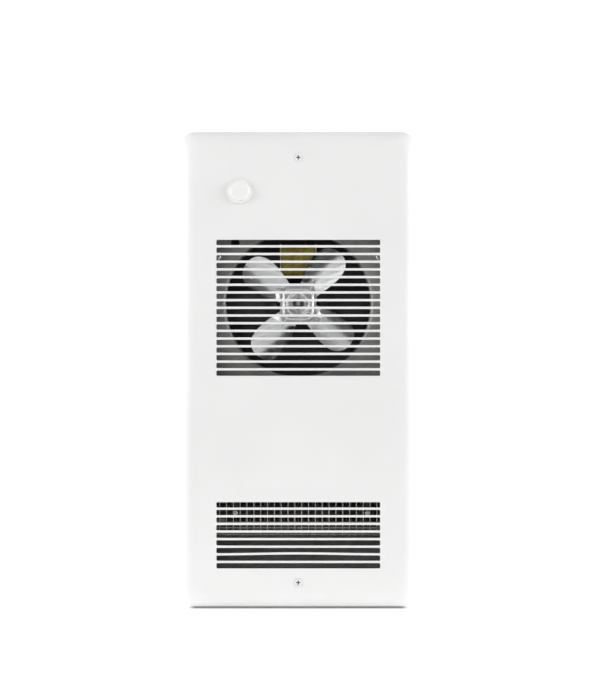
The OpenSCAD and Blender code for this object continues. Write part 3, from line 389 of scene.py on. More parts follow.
def recessShade(r):
    # painted shade in the cross recess of the two cover screws, near each axis and behind most of
    # the head; a greyer rim of painted shade where the head meets the dimple
    high, low = cover["screws"]
    head, seat = cover["screwHead"], faceY + cover["screwSeat"]
    split = r.split(r.place)
    away = r.combine("ABSOLUTE", r.combine("SUBTRACT", split["Z"], (low + high) / 2))
    along = r.combine("SUBTRACT", away, (high - low) / 2)
    squared = r.combine("ADD", r.times(split["X"], split["X"]), r.times(along, along))
    near = r.step(squared, (2.9 * mm) ** 2, (2.5 * mm) ** 2)
    sunk = r.step(split["Y"], seat - 2.2 * mm, seat - 1.7 * mm)
    rim = r.step(squared, (head - 0.6 * mm) ** 2, (head - 0.1 * mm) ** 2)
    return r.blend(r.times(near, sunk), r.blend(rim, 1.0, 0.5), (0.12, 0.12, 0.13))


def deflectorShade(r):
    # painted shade: darker higher up, nearer the element
    return r.step(r.split(r.place)["Z"], -198 * mm, -187 * mm, 0.94, 0.6)


def varnishedStack(name):
    # thin steel sheets side by side, so fine lines across the shaft's direction
    r = Recipe(name, (0.06, 0.055, 0.055), 0.5)
    sheets = r.bands("Y", 0.00065, 0.4)
    tone = r.ramp(r.noise(0.006, 4.0), tones((0.03, 0.028, 0.03), (0.09, 0.075, 0.065)))
    r.set(Base_Color=r.blend(0.35, tone, r.ramp(sheets, tones(0.02, 0.12, 0.2, 0.8))))
    r.gloss(sheets, 0.4, 0.6)
    r.relief(sheets, 0.0001, 0.6)
    return r.material


def yellowTape(name):
    # film tape: lapped edges across the coil, varnish stains, a soft gloss
    r = Recipe(name, (0.42, 0.33, 0.03), roughness=0.38)
    laps = r.bands("X", 0.012, 1.2)
    stains = r.noise(0.009, 4.0)
    tone = r.ramp(stains, [(0.25, (0.27, 0.2, 0.02)), (0.55, (0.42, 0.34, 0.035)),
                           (0.8, (0.5, 0.41, 0.05))])
    r.set(Base_Color=r.blend(r.ramp(laps, tones(0.0, 0.35, 0.9, 0.97)), tone, (0.2, 0.14, 0.015)))
    r.gloss(stains, 0.3, 0.48)
    r.relief(laps, 0.0002, 0.4)
    return r.material


def closedFoam(name):
    r = Recipe(name, (0.03, 0.03, 0.032), roughness=0.9)
    pores = r.cells(0.0009, "Distance")
    r.set(Base_Color=r.ramp(pores, tones((0.012, 0.012, 0.013), (0.045, 0.045, 0.048), 0.1, 0.6)))
    r.relief(pores, 0.0003, 0.8)
    return r.material


copper = (0.62, 0.31, 0.18)
finishes = {
    "white_paint": powderCoat("whitePowderCoat"),
    # the cover's inside: the same white darkened to 0.66, painted shade
    "cover_inside": powderCoat("coverInside", 0.66),
    "white_plastic": mottled(
        "whitePlastic", (0.012, 2.0), tones((0.865, 0.865, 0.855), (0.895, 0.895, 0.885)),
        ((0.0005, 2.0), 0.00002, 0.4), Specular_IOR_Level=0.25),
    # the wall box's zinc, with painted shade inside it
    "galvanised": zincSheet("galvanisedSheet", boxInsideShade),
    # the deck's zinc, with lint and painted shade
    "deck_zinc": zincSheet("deckZinc", deckLintAndShade),
    # cover screws, with painted shade in their recesses and round their heads
    "cover_screw": brightScrew("coverScrewZinc", (0.98, 0.98, 0.98), 0.0, 0.4, recessShade),
    "zinc_screw": brightScrew("brightZincScrew"),
    "guard_screw": brightScrew("guardScrewZinc", (0.95, 0.98, 0.97), 0.0, 0.4),
    # the motor screws: zinc darkened as painted shade, in the dark behind the fan
    "dull_screw": brightScrew("dulledScrew", (0.2, 0.2, 0.2), 0.9, 0.5),
    "green_screw": mottled(
        "greenScrew", (0.002,), tones((0.03, 0.14, 0.05), (0.08, 0.26, 0.1)),
        ((0.0006, 2.0), 0.00002, 0.4), metallic=0.7, roughness=0.3),
    # bright sheet with fine rolling lines and a few soft smudges
    "blade_aluminium": mottled(
        "rolledAluminium", (0.018,), tones((0.78, 0.79, 0.8), (0.88, 0.885, 0.89), end=0.65),
        ((0.0012, 4.0, (1.0, 1.0, 0.06), 0.6), 0.000012, 0.5), ((0.018,), 0.17, 0.33), 1.0, 0.24),
    "hub_alloy": mottled(
        "castAlloy", (0.004, 4.0), tones((0.4, 0.41, 0.42), (0.54, 0.55, 0.56)),
        ((0.0007, 4.0), 0.00006, 0.5), metallic=1.0, roughness=0.42),
    "steel": groundSteel("groundSteel"),
    # the motor's bridges: steel darkened as painted shade, in the dark behind the fan
    "dark_steel": groundSteel("shadedBridgeSteel", (0.1, 0.1, 0.105)),
    "rotor_steel": groundSteel("rotorSteel", (0.34, 0.35, 0.36)),
    "sheath_steel": heatTintedSteel("sheathSteel", (0.07, 0.065, 0.06), (0.1, 0.07, 0.05)),
    "fin_steel": heatTintedSteel("finSteel", (0.2, 0.19, 0.18), (0.25, 0.18, 0.13)),
    "spring_steel": mottled(
        "springSteel", (0.003, 4.0), tones((0.06, 0.06, 0.065), (0.14, 0.14, 0.145)),
        ((0.0005,), 0.00002, 0.5), metallic=0.9, roughness=0.4),
    "laminations": varnishedStack("varnishedStack"),
    "coil_tape": yellowTape("yellowTape"),
    "nylon": mottled(
        "naturalNylon", (0.006,), tones((0.66, 0.63, 0.53), (0.75, 0.73, 0.64)),
        ((0.0008, 2.0), 0.00002, 0.4), roughness=0.45, Subsurface_Weight=0.08),
    "copper": mottled(
        "bareCopper", (0.003, 4.0), tones(dim(copper, 0.6), copper),
        ((0.0006,), 0.00002, 0.4), ((0.002,), 0.25, 0.5), 1.0, 0.32),
    "bronze": mottled(
        "sinteredBronze", (0.0004, 4.0), tones((0.24, 0.15, 0.07), (0.46, 0.3, 0.15), 0.35, 0.65),
        ((0.0004, 4.0), 0.00004, 0.5), metallic=1.0),
    "ceramic_white": mottled(
        "glazedCeramic", (0.003,), tones((0.7, 0.66, 0.56), (0.82, 0.8, 0.72)),
        ((0.001, 2.0), 0.00002, 0.4), roughness=0.22),
    "black_plastic": mottled(
        "blackMoulding", (0.004,), tones((0.012, 0.012, 0.013), (0.028, 0.028, 0.03)),
        ((0.0005, 2.0), 0.00003, 0.4), ((0.003,), 0.36, 0.56), roughness=0.45),
    # the deflector's paint, with painted shade higher up under the element
    "black_paint": mottled(
        "mattBlackPaint", (0.012, 5.0), tones((0.42, 0.42, 0.41), (0.54, 0.54, 0.53), end=0.75),
        ((0.0009,), 0.00003, 0.5), ((0.012, 5.0), 0.5, 0.72), 0.0, 0.6, deflectorShade),
    "guard_wire": mottled(
        "platedWire", (0.006, 4.0), tones((0.65, 0.64, 0.6), (0.78, 0.78, 0.75)),
        ((0.0006,), 0.00002, 0.4), ((0.002,), 0.25, 0.45), 0.6, 0.38),
    "foam_rubber": closedFoam("closedFoam"),
    "black_insulation": wireSleeve("blackSleeve", (0.02, 0.02, 0.022)),
    "red_insulation": wireSleeve("redSleeve", (0.24, 0.02, 0.018)),
}
for node, obj in frame["nodes"].items():
    obj.data.materials.clear()
    obj.data.materials.append(finishes[slotOf[node]])
print("finishes made:", len(finishes))


# Flat sheet with rounded cut-outs.

def opening(x, z, halfX, halfZ, corner=0.0, **more):
    return {"at": (x, z), "half": (halfX, halfZ), "corner": corner, **more}


def circleHole(x, z, radius, steps=4):
    return opening(x, z, radius, radius, radius, steps=steps)


def fromMiddle(x, z, hole):
    # 0 in the middle of an opening's rectangle, 1 on its edge
    (cx, cz), (hx, hz) = hole["at"], hole["half"]
    return np.maximum(np.abs(x - cx) / hx, np.abs(z - cz) / hz)


def cutLines(hole, axis, steps):
    # grid lines along one axis that an opening's straight ends and rounded corners need
    centre, half, r = hole["at"][axis], hole["half"][axis], hole["corner"]
    rise = np.linspace(0.0, 1.0, steps + 1) * r
    return np.concatenate([centre - half + r - rise, centre + half - r + rise])


def roundCorners(x, z, hole, inside):
    # moves grid points in a rounded corner's square onto circles: a point at (a, b) in the
    # square, with m = max(a, b), goes to distance m from the arc's centre. Of a cut-out only
    # the edge moves; of the sheet's own corner (inside) all points in the square do.
    (cx, cz), (hx, hz), r = hole["at"], hole["half"], hole["corner"]
    a = (np.abs(x - cx) - (hx - r)) / r
    b = (np.abs(z - cz) - (hz - r)) / r
    m = np.maximum(a, b)
    near = (np.minimum(a, b) > 1e-6) & (m < 1 + 1e-6) & ((m > 1 - 1e-6) | inside)
    safe = np.where(near, m, 1.0)
    along = np.where(a >= b, radians(45) * b / safe, radians(90) - radians(45) * a / safe)
    newX = cx + np.sign(x - cx) * (hx - r + r * m * np.cos(along))
    newZ = cz + np.sign(z - cz) * (hz - r + r * m * np.sin(along))
    return np.where(near, newX, x), np.where(near, newZ, z)


def sheetGrid(outline, holes, steps, outerSteps, spacing, extra=((), ())):
    # a grid over the outline whose lines follow every opening, with the quads in openings left
    # out; an island is a part of an opening where the sheet stays
    lines = []
    for axis in (0, 1):
        cuts = [cutLines(h, axis, h.get("steps", steps)) for h in holes]
        cuts += [cutLines(outline, axis, outerSteps), np.asarray(extra[axis], float)]
        fixed = np.unique(np.round(np.concatenate(cuts), 7))
        gaps = np.maximum(1, np.ceil(np.diff(fixed) / spacing).astype(int))
        runs = [np.linspace(*run, endpoint=False) for run in zip(fixed[:-1], fixed[1:], gaps)]
        lines.append(np.concatenate(runs + [fixed[-1:]]))
    x, z = np.meshgrid(*lines, indexing="ij")
    midX, midZ = ((v[:-1, :-1] + v[1:, 1:]) / 2 for v in (x, z))
    keep = np.ones(midX.shape, bool)
    for h in holes:
        within = fromMiddle(midX, midZ, h) < 1
        keep = keep | within if h.get("island") else keep & ~within
        h["rim"] = np.abs(fromMiddle(x, z, h) - 1) < 1e-5
    for h in (*holes, outline):
        if h["corner"]:
            x, z = roundCorners(x, z, h, h is outline)
    return x, z, keep


def rimPoints(hole, *grids):
    # the sheet's own points along an opening's edge, in order; the grids begin with x and end
    # with z
    away = [grid[hole["rim"]] - c for grid, c in zip((grids[0], grids[-1]), hole["at"])]
    order = np.argsort(np.arctan2(away[1], away[0]))
    return [grid[hole["rim"]][order][:, None] for grid in grids]


def ringInHole(hole, shares, depths, x, y, z):
    # rings inside a round opening: they start on the sheet's own points along its edge,
    # shrink by the shares of its radius and go back by the depths
    cx, cz = hole["at"]
    ex, ey, ez = rimPoints(hole, x, y, z)
    rings = xyz(cx + (ex - cx) * shares, ey + depths, cz + (ez - cz) * shares)
    return surface(rings, closeRows=True)


def around(grid):
    # a grid's outer values in order
    return np.concatenate([grid[:-1, 0], grid[-1, :-1], grid[:0:-1, -1], grid[0, :0:-1]])


def quarterTurn(steps):
    # the sine of a quarter turn and what is left of its cosine
    turn = np.linspace(0, np.pi / 2, steps)
    return np.sin(turn), 1 - np.cos(turn)


def slotHoles(which):
    count, grille = cover["slots"][which], cover[which]
    size = cover["slotWidth"] / 2, grille["height"] / 2, cover["slotCorner"]
    rows = (np.arange(count) - (count - 1) / 2) * grille["pitch"] + grille["middle"]
    return [opening(0.0, row, *size, steps=2) for row in rows]


def makeCover():
    edge, corner, calmEdge = cover["edgeRadius"], cover["faceCorner"], cover["calmEdge"]
    half = (coverHigh - coverLow)[[0, 2]] / 2 - edge
    outline = opening(0.0, 0.0, *half, corner)
    outlet = slotHoles("outlet")
    seats = [circleHole(0.0, z, cover["dimpleRadius"], 6) for z in cover["screws"]]
    spindle = circleHole(knobAxis[0], knobAxis[2], cover["spindleHole"], 3)
    holes = slotHoles("intake") + outlet + seats + [spindle]
    x, z, keep = sheetGrid(outline, holes, 2, 8, cover["spacing"])
    # the bar between the seventh and eighth outlet slots is bent up a little in its middle
    across, slotHalf = cover["slotWidth"], cover["outlet"]["height"] / 2 - 1e-6
    low, high = outlet[1]["at"][1] + slotHalf, outlet[2]["at"][1] - slotHalf
    inBar = (z > low) & (z < high) & (np.abs(x) < across / 2 - cover["slotCorner"])
    z = z + np.where(inBar, cover["bentBar"] * np.cos(np.pi * x / across) ** 2, 0.0)
    # pressed sheet is never quite flat: two crossed waves of a few hundredths of a millimetre
    calm = ease((half[0] - np.abs(x)) / calmEdge) * ease((half[1] - np.abs(z)) / calmEdge)
    waveX, waveZ = cover["waves"]
    y = faceY + calm * cover["waviness"] * (1 - np.cos(x / waveX) * np.cos(z / waveZ))
    parts = [surface(xyz(x, y, z), keep=keep)]

    # the edge: from the face's outline to the rim's by the sine of a quarter turn, while the
    # depth follows its cosine, then straight back. Both outlines turn their corners together.
    loop, straight = np.stack([around(x), around(z)]), (half - corner)[:, None]
    out = np.sign(loop) * np.maximum(np.abs(loop) - straight, 0.0)
    out = out / np.hypot(*out)
    drift = corner + edge - cover["cornerRadius"]
    turning = np.all(np.abs(loop) > straight - 1e-7, axis=0)
    move = out * (edge - drift) + np.where(turning, np.sign(loop), out) * drift
    sine, sag = quarterTurn(13)
    skirtX, skirtZ = loop[..., None] + move[..., None] * np.append(sine, 1.0)
    skirt = xyz(skirtX, faceY + np.append(edge * sag, rimY - faceY), skirtZ)
    parts.append(surface(skirt, closeRows=True, flip=True))

    # the screws' seats: radius falls while the depth follows an ease curve to a flat bottom
    t, rim = np.linspace(0, 1, 9), cover["dimpleRadius"]
    radii = np.append(rim + (cover["seatRadius"] - rim) * t, cover["screwHole"])
    drop = cover["dimpleDepth"] * ease(np.append(t, 1.0))
    parts += [ringInHole(seat, radii / rim, drop, x, y, z) for seat in seats]
    buildPiece("coverShell", parts, "front_cover", smooth=25, weld=4e-6, sheet=cover["sheet"],
               inner="cover_inside", edge=cover["edgeBreak"])


makeCover()
print("front cover made")


# Shapes that several pieces share.

def roundedLoop(halfA, halfB, radius):
    # a rounded rectangle as four quarter circles joined by straight sides: points and
    # outward directions, counter-clockwise
    angle = np.linspace(0, np.pi / 2, 9)[None, :] + np.pi / 2 * np.arange(4)[:, None]
    signA, signB = np.array([1, -1, -1, 1])[:, None], np.array([1, 1, -1, -1])[:, None]
    a = signA * (halfA - radius) + radius * np.cos(angle)
    b = signB * (halfB - radius) + radius * np.sin(angle)
    return [v.reshape(-1, 1) for v in (a, b, np.cos(angle), np.sin(angle))]


def unit(vectors):
    return vectors / np.linalg.norm(vectors, axis=1, keepdims=True)


def tube(path, radius, sides, reference):
    # circles of one radius across the path's direction at each point, closed at both ends
    along = unit(np.gradient(path, axis=0))
    u = unit(np.cross(along, reference))
    angle = np.linspace(0, 2 * np.pi, sides, endpoint=False)[None, :, None]
    circle = np.cos(angle) * u[:, None] + np.sin(angle) * np.cross(along, u)[:, None]
    first, last = (np.repeat(path[k][None, None], sides, axis=1) for k in (0, -1))
    rings = np.concatenate([first, path[:, None] + radius * circle, last])
    return surface(rings, closeColumns=True, flip=True)


def placed(local, centre, axis=None):
    # puts points that are drawn about the Y axis at a centre, along another axis if one is given
    return np.asarray(centre) + (local if axis is None else local @ np.asarray(axis, float))


def lathe(radii, depths, centre, turns, axis=None, wobble=None):
    # a profile of radius and distance along the axis, from the front pole to the back one
    angle = np.linspace(0, 2 * np.pi, turns, endpoint=False)[:, None]
    if wobble:
        radii = radii + wobble(angle, depths)
    local = xyz(radii * np.cos(angle), depths, radii * np.sin(angle))
    return surface(placed(local, centre, axis), closeRows=True, flip=True)


def bend(points, reach):
    # a route's corners rounded by parabolas: (1-t)^2 a + 2t(1-t) p + t^2 c
    p = np.array(points)
    a = p[1:-1] + unit(p[:-2] - p[1:-1]) * reach
    c = p[1:-1] + unit(p[2:] - p[1:-1]) * reach
    t = np.linspace(0, 1, 5)[None, :, None]
    curves = (1 - t) ** 2 * a[:, None] + 2 * t * (1 - t) * p[1:-1, None] + t * t * c[:, None]
    return np.concatenate([p[:1], curves.reshape(-1, 3), p[-1:]])


def discGrid(lines, radius, core):
    # a square grid that stays square inside the core and becomes a circle at the radius
    x, z = np.meshgrid(lines, lines, indexing="ij")
    m = np.maximum(np.abs(x), np.abs(z))
    turn = radians(45) * np.minimum(np.abs(x), np.abs(z)) / np.where(m > 0, m, 1.0)
    turn = np.where(np.abs(z) > np.abs(x), radians(90) - turn, turn)
    share = np.clip((m - core) / (radius - core), 0, 1)
    return (x + share * (np.sign(x) * m * np.cos(turn) - x),
            z + share * (np.sign(z) * m * np.sin(turn) - z))


screwForm = {"slotHalf": 0.16, "slotReach": 0.6, "slotDepth": 0.92, "thread": 0.09, "tip": 0.6,
             "pitch": 1.0 * mm, "rows": 5, "neck": -0.1, "tipFrom": 0.97}


def panHead(centre, radius, height, shank, length, axis=None):
    # head: a flattened dome H * sqrt(1 - (r/R)^3) with a cross recess whose walls slope in;
    # shank: a cylinder whose radius dips once a pitch along a helix
    a, b = screwForm["slotHalf"] * radius, screwForm["slotReach"] * radius
    steps = np.array([0, 0.6 * a, a, 0.5 * (a + b), b, 0.45 * (b + radius), 0.86 * radius,
                      0.95 * radius, 0.99 * radius, radius])
    x, z = discGrid(np.concatenate([-steps[:0:-1], steps]), radius, b)
    rise = height * np.sqrt(1 - 0.94 * np.clip(np.hypot(x, z) / radius, 0, 1) ** 3)

    def arm(u, v):
        across, along = (a - np.abs(u)) / (0.4 * a), (b - np.abs(v)) / (0.45 * b)
        return np.clip(across, 0, 1) * np.clip(along, 0, 1)
    sunk = screwForm["slotDepth"] * height * np.maximum(arm(x, z), arm(z, x))
    local = xyz(x, sunk - rise, z)
    edge = around(local)
    seat = edge * (1, 0, 1)
    rings = np.stack([edge, seat, seat * 0.6, seat * 0], axis=1)
    neck, rows = screwForm["neck"] * height, int(length / screwForm["pitch"] * screwForm["rows"])
    run = np.linspace(neck, length * screwForm["tipFrom"], rows)
    depth = np.concatenate([[neck], run, [length, length]])
    reach = np.concatenate([[0], np.full(rows, shank), [shank * screwForm["tip"], 0]])
    inside = (depth > 0) & (depth < 0.96 * length)

    def thread(angle, along):
        phase = (along / screwForm["pitch"] - angle / (2 * np.pi)) % 1.0
        return -screwForm["thread"] * shank * np.abs(2 * phase - 1) * inside
    return [surface(placed(local, centre, axis)),
            surface(placed(rings, centre, axis), closeRows=True, flip=True),
            lathe(reach, depth, centre, 16, axis, thread)]


def screwsFor(name, node, places, sizes, finish=None, axis=None):
    # sizes are the head's radius and height, the shank's radius and length
    parts = [s for place in places for s in panHead(place, *sizes, axis)]
    buildPiece(name, parts, node, finish, smooth=35)


def makeRod(name, node, radius, axis, groove=((), ())):
    # a turned rod along Y with chamfered ends; groove gives depths and the cuts there
    low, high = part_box(node)
    length, chamfer = high[1] - low[1], 0.5 * mm
    depths = np.concatenate([[0, 0, chamfer], groove[0], [length - chamfer, length, length]])
    cuts = np.concatenate([[radius, chamfer, 0], groove[1], [0, chamfer, radius]])
    rod = lathe(radius - cuts, depths, (axis[0], low[1], axis[2]), 32)
    buildPiece(name, [rod], node, smooth=30)


# a drawing's Y axis becomes X, or -X
alongX = ((0, 0, 1), (1, 0, 0), (0, 1, 0))
againstX = ((0, 0, -1), (-1, 0, 0), (0, 1, 0))
sides = (-1, 1)

deck = metres({
    "sheet": 1.0, "setback": 38, "orifice": 80, "lipBend": 4, "collar": 5, "tongueHalf": 4.5,
    "outlet": {"at": (0.0, -181), "half": (102, 40.5), "corner": 4},
    "guardScrews": ((-69.95, -160), (76.9, -160)), "guardHole": 1.55, "returnDepth": 7,
    "returnHalf": 96, "flange": 5, "bendInside": 0.5, "relief": 1.5, "sightHole": (-70, 140, 4.8),
    "bushing": 4.9, "screwAcross": 89.5, "screwLevels": (124.5, -39.5, -232), "screwHole": 2,
    "rivets": (101, 9, 1.95), "edgeBreak": 0.15, "spacing": 22,
})
deckFace = faceY + deck["setback"]
deckBack = deckFace + deck["sheet"]


def cutRound(piece, x, z, radius, level, reach=26 * mm, corners=20):
    # a round hole in the flat of a sheet: the faces about it make way for a fill between
    # their outline and the circle
    bm = bmesh.new()
    bm.from_mesh(piece.data)
    flat = [f for f in bm.faces if all(abs(v.co.y - level) < 1e-6 for v in f.verts)
            and max(abs(f.calc_center_median().x - x), abs(f.calc_center_median().z - z)) < reach]
    chosen = set(flat)
    outline = [e for f in flat for e in f.edges if sum(g in chosen for g in e.link_faces) == 1]
    angle = np.linspace(0, 2 * np.pi, corners, endpoint=False)
    ring = xyz(x + radius * np.cos(angle), level, z + radius * np.sin(angle))
    verts = [bm.verts.new(c) for c in ring.tolist()]
    circle = [bm.edges.new(pair) for pair in zip(verts, verts[1:] + verts[:1])]
    bmesh.ops.delete(bm, geom=flat, context="FACES_ONLY")
    filled = bmesh.ops.triangle_fill(bm, edges=outline + circle, use_beauty=True, normal=(0, -1, 0))
    for face in filled["geom"]:
        if isinstance(face, bmesh.types.BMFace):
            face.normal_update()
            face.smooth = True
            if face.normal.y > 0:
                face.normal_flip()
    bmesh.ops.delete(bm, geom=[e for e in bm.edges if not e.link_faces], context="EDGES")
    bm.to_mesh(piece.data)
    bm.free()


def makeDeck():
    half = deckHigh[[0, 2]] - deck["sheet"] - deck["bendInside"]
    outlet, tongue, bendInside = deck["outlet"], deck["tongueHalf"], deck["bendInside"]
    top = outlet["at"][1] + outlet["half"][1]
    orifice = circleHole(0.0, fanAxis[2], deck["orifice"] + deck["lipBend"], 18)
    rivetX, rivetZ, rivetR = deck["rivets"]
    holes = [outlet]
    holes += [opening(x, (top + z - tongue) / 2, tongue, (top - z + tongue) / 2, island=True)
              for x, z in deck["guardScrews"]]
    holes += [circleHole(x, z, deck["guardHole"], 2) for x, z in deck["guardScrews"]]
    holes += [orifice, circleHole(knobAxis[0], knobAxis[2], deck["bushing"], 3)]
    holes += [circleHole(side * deck["screwAcross"], level, deck["screwHole"], 2)
              for level in deck["screwLevels"] for side in sides]
    holes += [circleHole(i * rivetX, fanAxis[2] + k * rivetZ, rivetR, 2)
              for i in sides for k in sides]
    ends, turned = half - deck["relief"], deck["returnHalf"]
    extra = ([-ends[0], ends[0], -turned, turned], [-ends[1], ends[1]])
    x, z, keep = sheetGrid(opening(0.0, 0.0, *half), holes, 4, 0, deck["spacing"], extra)
    y = np.full_like(x, deckFace)
    parts = [surface(xyz(x, y, z), keep=keep)]

    # the lip: a quarter circle towards the back, then a straight collar
    whole, lip = orifice["corner"], deck["lipBend"]
    sine, sag = quarterTurn(8)
    radii = np.append(whole - lip * sine, deck["orifice"])
    depths = np.append(lip * sag, lip + deck["collar"])
    parts.append(ringInHole(orifice, radii / whole, depths, x, y, z))

    # flanges along the four edges stand forward, with a small inside bend
    sine, sag = quarterTurn(5)
    out = np.append(bendInside * sine, bendInside)
    fore = deckFace - np.append(bendInside * sag, deck["flange"])
    for axis in (0, 1):
        place, other = (x, z)[axis], (x, z)[1 - axis]
        for side in sides:
            edge = np.abs(place - side * half[axis]) < 1e-6
            line = np.sort(other[edge & (np.abs(other) < ends[1 - axis] + 1e-6)])[:, None]
            stand = side * (half[axis] + out)
            points = xyz(line, fore, stand) if axis else xyz(stand, fore, line)
            parts.append(surface(points, flip=(side > 0) != bool(axis)))

    # the outlet's upper and lower edges are turned back, the upper one between the tongues
    back = np.array([deckFace, deckFace + deck["returnDepth"]])
    for side in sides:
        level = outlet["at"][1] + side * outlet["half"][1]
        across = np.unique(np.round(x[np.abs(z - level) < 1e-6], 7))
        across = across[np.abs(across) < turned + 1e-6]
        mid = (across[:-1] + across[1:]) / 2
        free = np.all([np.abs(mid - t[0]) > tongue for t in deck["guardScrews"]], axis=0)
        keepRow = free[:, None] if side > 0 else None
        parts.append(surface(xyz(across[:, None], back, level), keep=keepRow, flip=side > 0))
    piece = buildPiece("deckSheet", parts, "fan_deck", "deck_zinc", 25, 4e-6, sheet=deck["sheet"],
                       edge=deck["edgeBreak"])
    cutRound(piece, *deck["sightHole"], deckFace)


makeDeck()
print("fan deck made")

fan = {
    "pitch": 27.0, "turn": 52.0, "rearShare": 1.07, "blades": 4,
    **metres({
        "tip": 73, "root": 16, "start": 13, "rootHalf": 10, "flare": 18, "camber": 62, "sheet": 1.0,
        "backSheet": 0.95, "twistFrom": 19, "twistLength": 12, "setBack": 0.2, "ribHalf": 1.7,
        "ribHeight": 0.9, "ribEnd": 36, "ribFade": 12, "plateHalf": 20, "plateCorner": 6,
        "plateCore": 8, "fineLines": 10, "ringAt": 12.2, "ringHalf": 1.3, "beadAt": 16.2,
        "beadHalf": 1.2, "bossHeight": 0.55, "shaftHole": 2.6, "edgeBreak": 0.25, "inFront": 9,
    }),
}
fanCentre = np.array([fanAxis[0], deckFace - fan["inFront"], fanAxis[2]])


def makeFanBlades():
    # outline: half width grows evenly from the root and is closed by sqrt(1 - s^3) at the tip;
    # depth: the blade lies on a cylinder of the camber radius, turned by the pitch
    along = 1 - (1 - np.linspace(0, 1, 44)) ** 1.8
    reach = (fan["start"] + along * (fan["tip"] - fan["start"]))[:, None]
    s = np.clip((reach - fan["root"]) / (fan["tip"] - fan["root"]), 0, 1)
    u = np.linspace(-1, 1, 41)
    half = (fan["rootHalf"] + fan["flare"] * s) * np.sqrt(1 - s ** 3)
    width = half * (np.sign(u) * np.abs(u) ** 1.15)
    width = width * np.where(width > 0, fan["rearShare"], 1.0)
    lean, camber = radians(fan["pitch"]), fan["camber"]
    turned = np.arcsin(np.clip(width / camber + np.sin(lean), -1, 1))
    twist = ease((reach - fan["twistFrom"]) / fan["twistLength"])
    rib = bump(width, fan["ribHalf"]) * ease((fan["ribEnd"] - reach) / fan["ribFade"])
    sink = camber * (np.cos(lean) - np.cos(turned))
    depth = sink * twist - fan["ribHeight"] * rib + fan["setBack"]
    parts = []
    for blade in range(fan["blades"]):
        angle = radians(fan["turn"] + 360 / fan["blades"] * blade)
        x = reach * np.cos(angle) - width * np.sin(angle)
        z = reach * np.sin(angle) + width * np.cos(angle)
        parts.append(surface(fanCentre + xyz(x, depth, z)))

    # the plate: a raised ring and a bead along its rounded square edge
    half, core, fine = fan["plateHalf"], fan["plateCore"], fan["fineLines"]
    lines = np.concatenate([np.linspace(0, fine, 9)[1:], np.linspace(fine, half, 21)[1:]])
    lines = np.concatenate([-lines, lines])
    x, z, keep = sheetGrid(opening(0.0, 0.0, half, half, fan["plateCorner"]),
                           [circleHole(0.0, 0.0, fan["shaftHole"])], 4, 8, 5 * mm, (lines, lines))
    inset = np.hypot(*(np.maximum(np.abs(v) - core, 0) for v in (x, z))) + core
    ring = bump(np.hypot(x, z) - fan["ringAt"], fan["ringHalf"])
    bead = bump(inset - fan["beadAt"], fan["beadHalf"])
    y = -fan["sheet"] / 2 - fan["bossHeight"] * np.maximum(ring, bead)
    parts.append(surface(fanCentre + xyz(x, y, z), keep=keep))
    buildPiece("fanWheel", parts, "fan_blades", smooth=45, sheet=fan["backSheet"],
               edge=fan["edgeBreak"], angle=60)


makeFanBlades()
dressNodes({"fan_hub": 0.3, "fan_clip": 0.15})
print("fan made")

motor = metres({
    "coilHalf": (17.5, 22), "coilCorner": 6, "coilLength": 38.4, "coilRise": 48.5,
    "coilInset": 0.4, "coilEnd": 0.5, "tubeHalf": (8.4, 13.9), "tubeCorner": 0.5,
    "wireRipple": 0.06, "ripplePitch": 1.9, "tapePitch": 12.8, "tapeStep": 0.18,
    "stack": (-62, -37), "blockHalf": (31.5, 22), "legInside": 21.5, "boreRadius": 15.35,
    "studAt": 25, "studHole": 2.1, "ringHoles": ((13.5, 13.5), (20.5, 9)), "ringHole": 1.4,
    "edgeBreak": 0.2, "spacing": 12, "bridge": 1.5, "screw": (3.6, 2.4, 2),
    "clipGroove": ((1.6, 1.7, 2.3, 2.4), (0, 0.35, 0.35, 0)),
})
stackFront, stackBack = motor["stack"]
stackMiddle = (stackFront + stackBack) / 2


def makeCoil():
    # skin: a rounded rectangle carried along X; its size ripples with the wire below and
    # steps down by one tape thickness once a lap
    a, b, outA, outB = roundedLoop(*motor["coilHalf"], motor["coilCorner"])
    half, inset = motor["coilLength"] / 2, motor["coilInset"]
    x = np.concatenate([[-half], np.linspace(inset - half, half - inset, 121), [half]])
    swell = (motor["wireRipple"] * (np.cos(2 * np.pi * x / motor["ripplePitch"]) - 1)
             - motor["tapeStep"] * ((x + half) / motor["tapePitch"] % 1.0)
             - motor["coilEnd"] * (np.abs(x) > half - inset / 4))
    inA, inB = roundedLoop(*motor["tubeHalf"], motor["tubeCorner"])[:2]
    skin = xyz(x, b + outB * swell, a + outA * swell)
    inner = xyz(np.array([half, -half]), inB, inA)
    middle = np.array([0.0, stackMiddle, fanAxis[2] + motor["coilRise"]])
    body = middle + np.concatenate([skin, inner], axis=1)
    buildPiece("coilTape", [surface(body, closeRows=True, closeColumns=True)], "coil_winding",
               smooth=50, outward=True)


def makeStator():
    # the lamination's outline with its bore and holes; the thickness is the whole stack
    width, rise = motor["blockHalf"]
    middle, top = fanAxis[2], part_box("stator_stack")[1][2]
    low, high = middle - rise, middle + rise
    holes = [opening(0.0, (high + top) / 2, motor["legInside"], (top - high) / 2),
             circleHole(0.0, middle, motor["boreRadius"], 8)]
    for side in sides:
        holes.append(circleHole(side * motor["studAt"], middle, motor["studHole"], 2))
        holes += [circleHole(side * a, middle + side * b, motor["ringHole"], 2)
                  for a, b in motor["ringHoles"]]
    outline = opening(0.0, (low + top) / 2, width, (top - low) / 2)
    x, z, keep = sheetGrid(outline, holes, 4, 0, motor["spacing"])
    buildPiece("statorStack", [surface(xyz(x, stackFront, z), keep=keep)], "stator_stack",
               smooth=30, sheet=stackBack - stackFront, edge=motor["edgeBreak"])


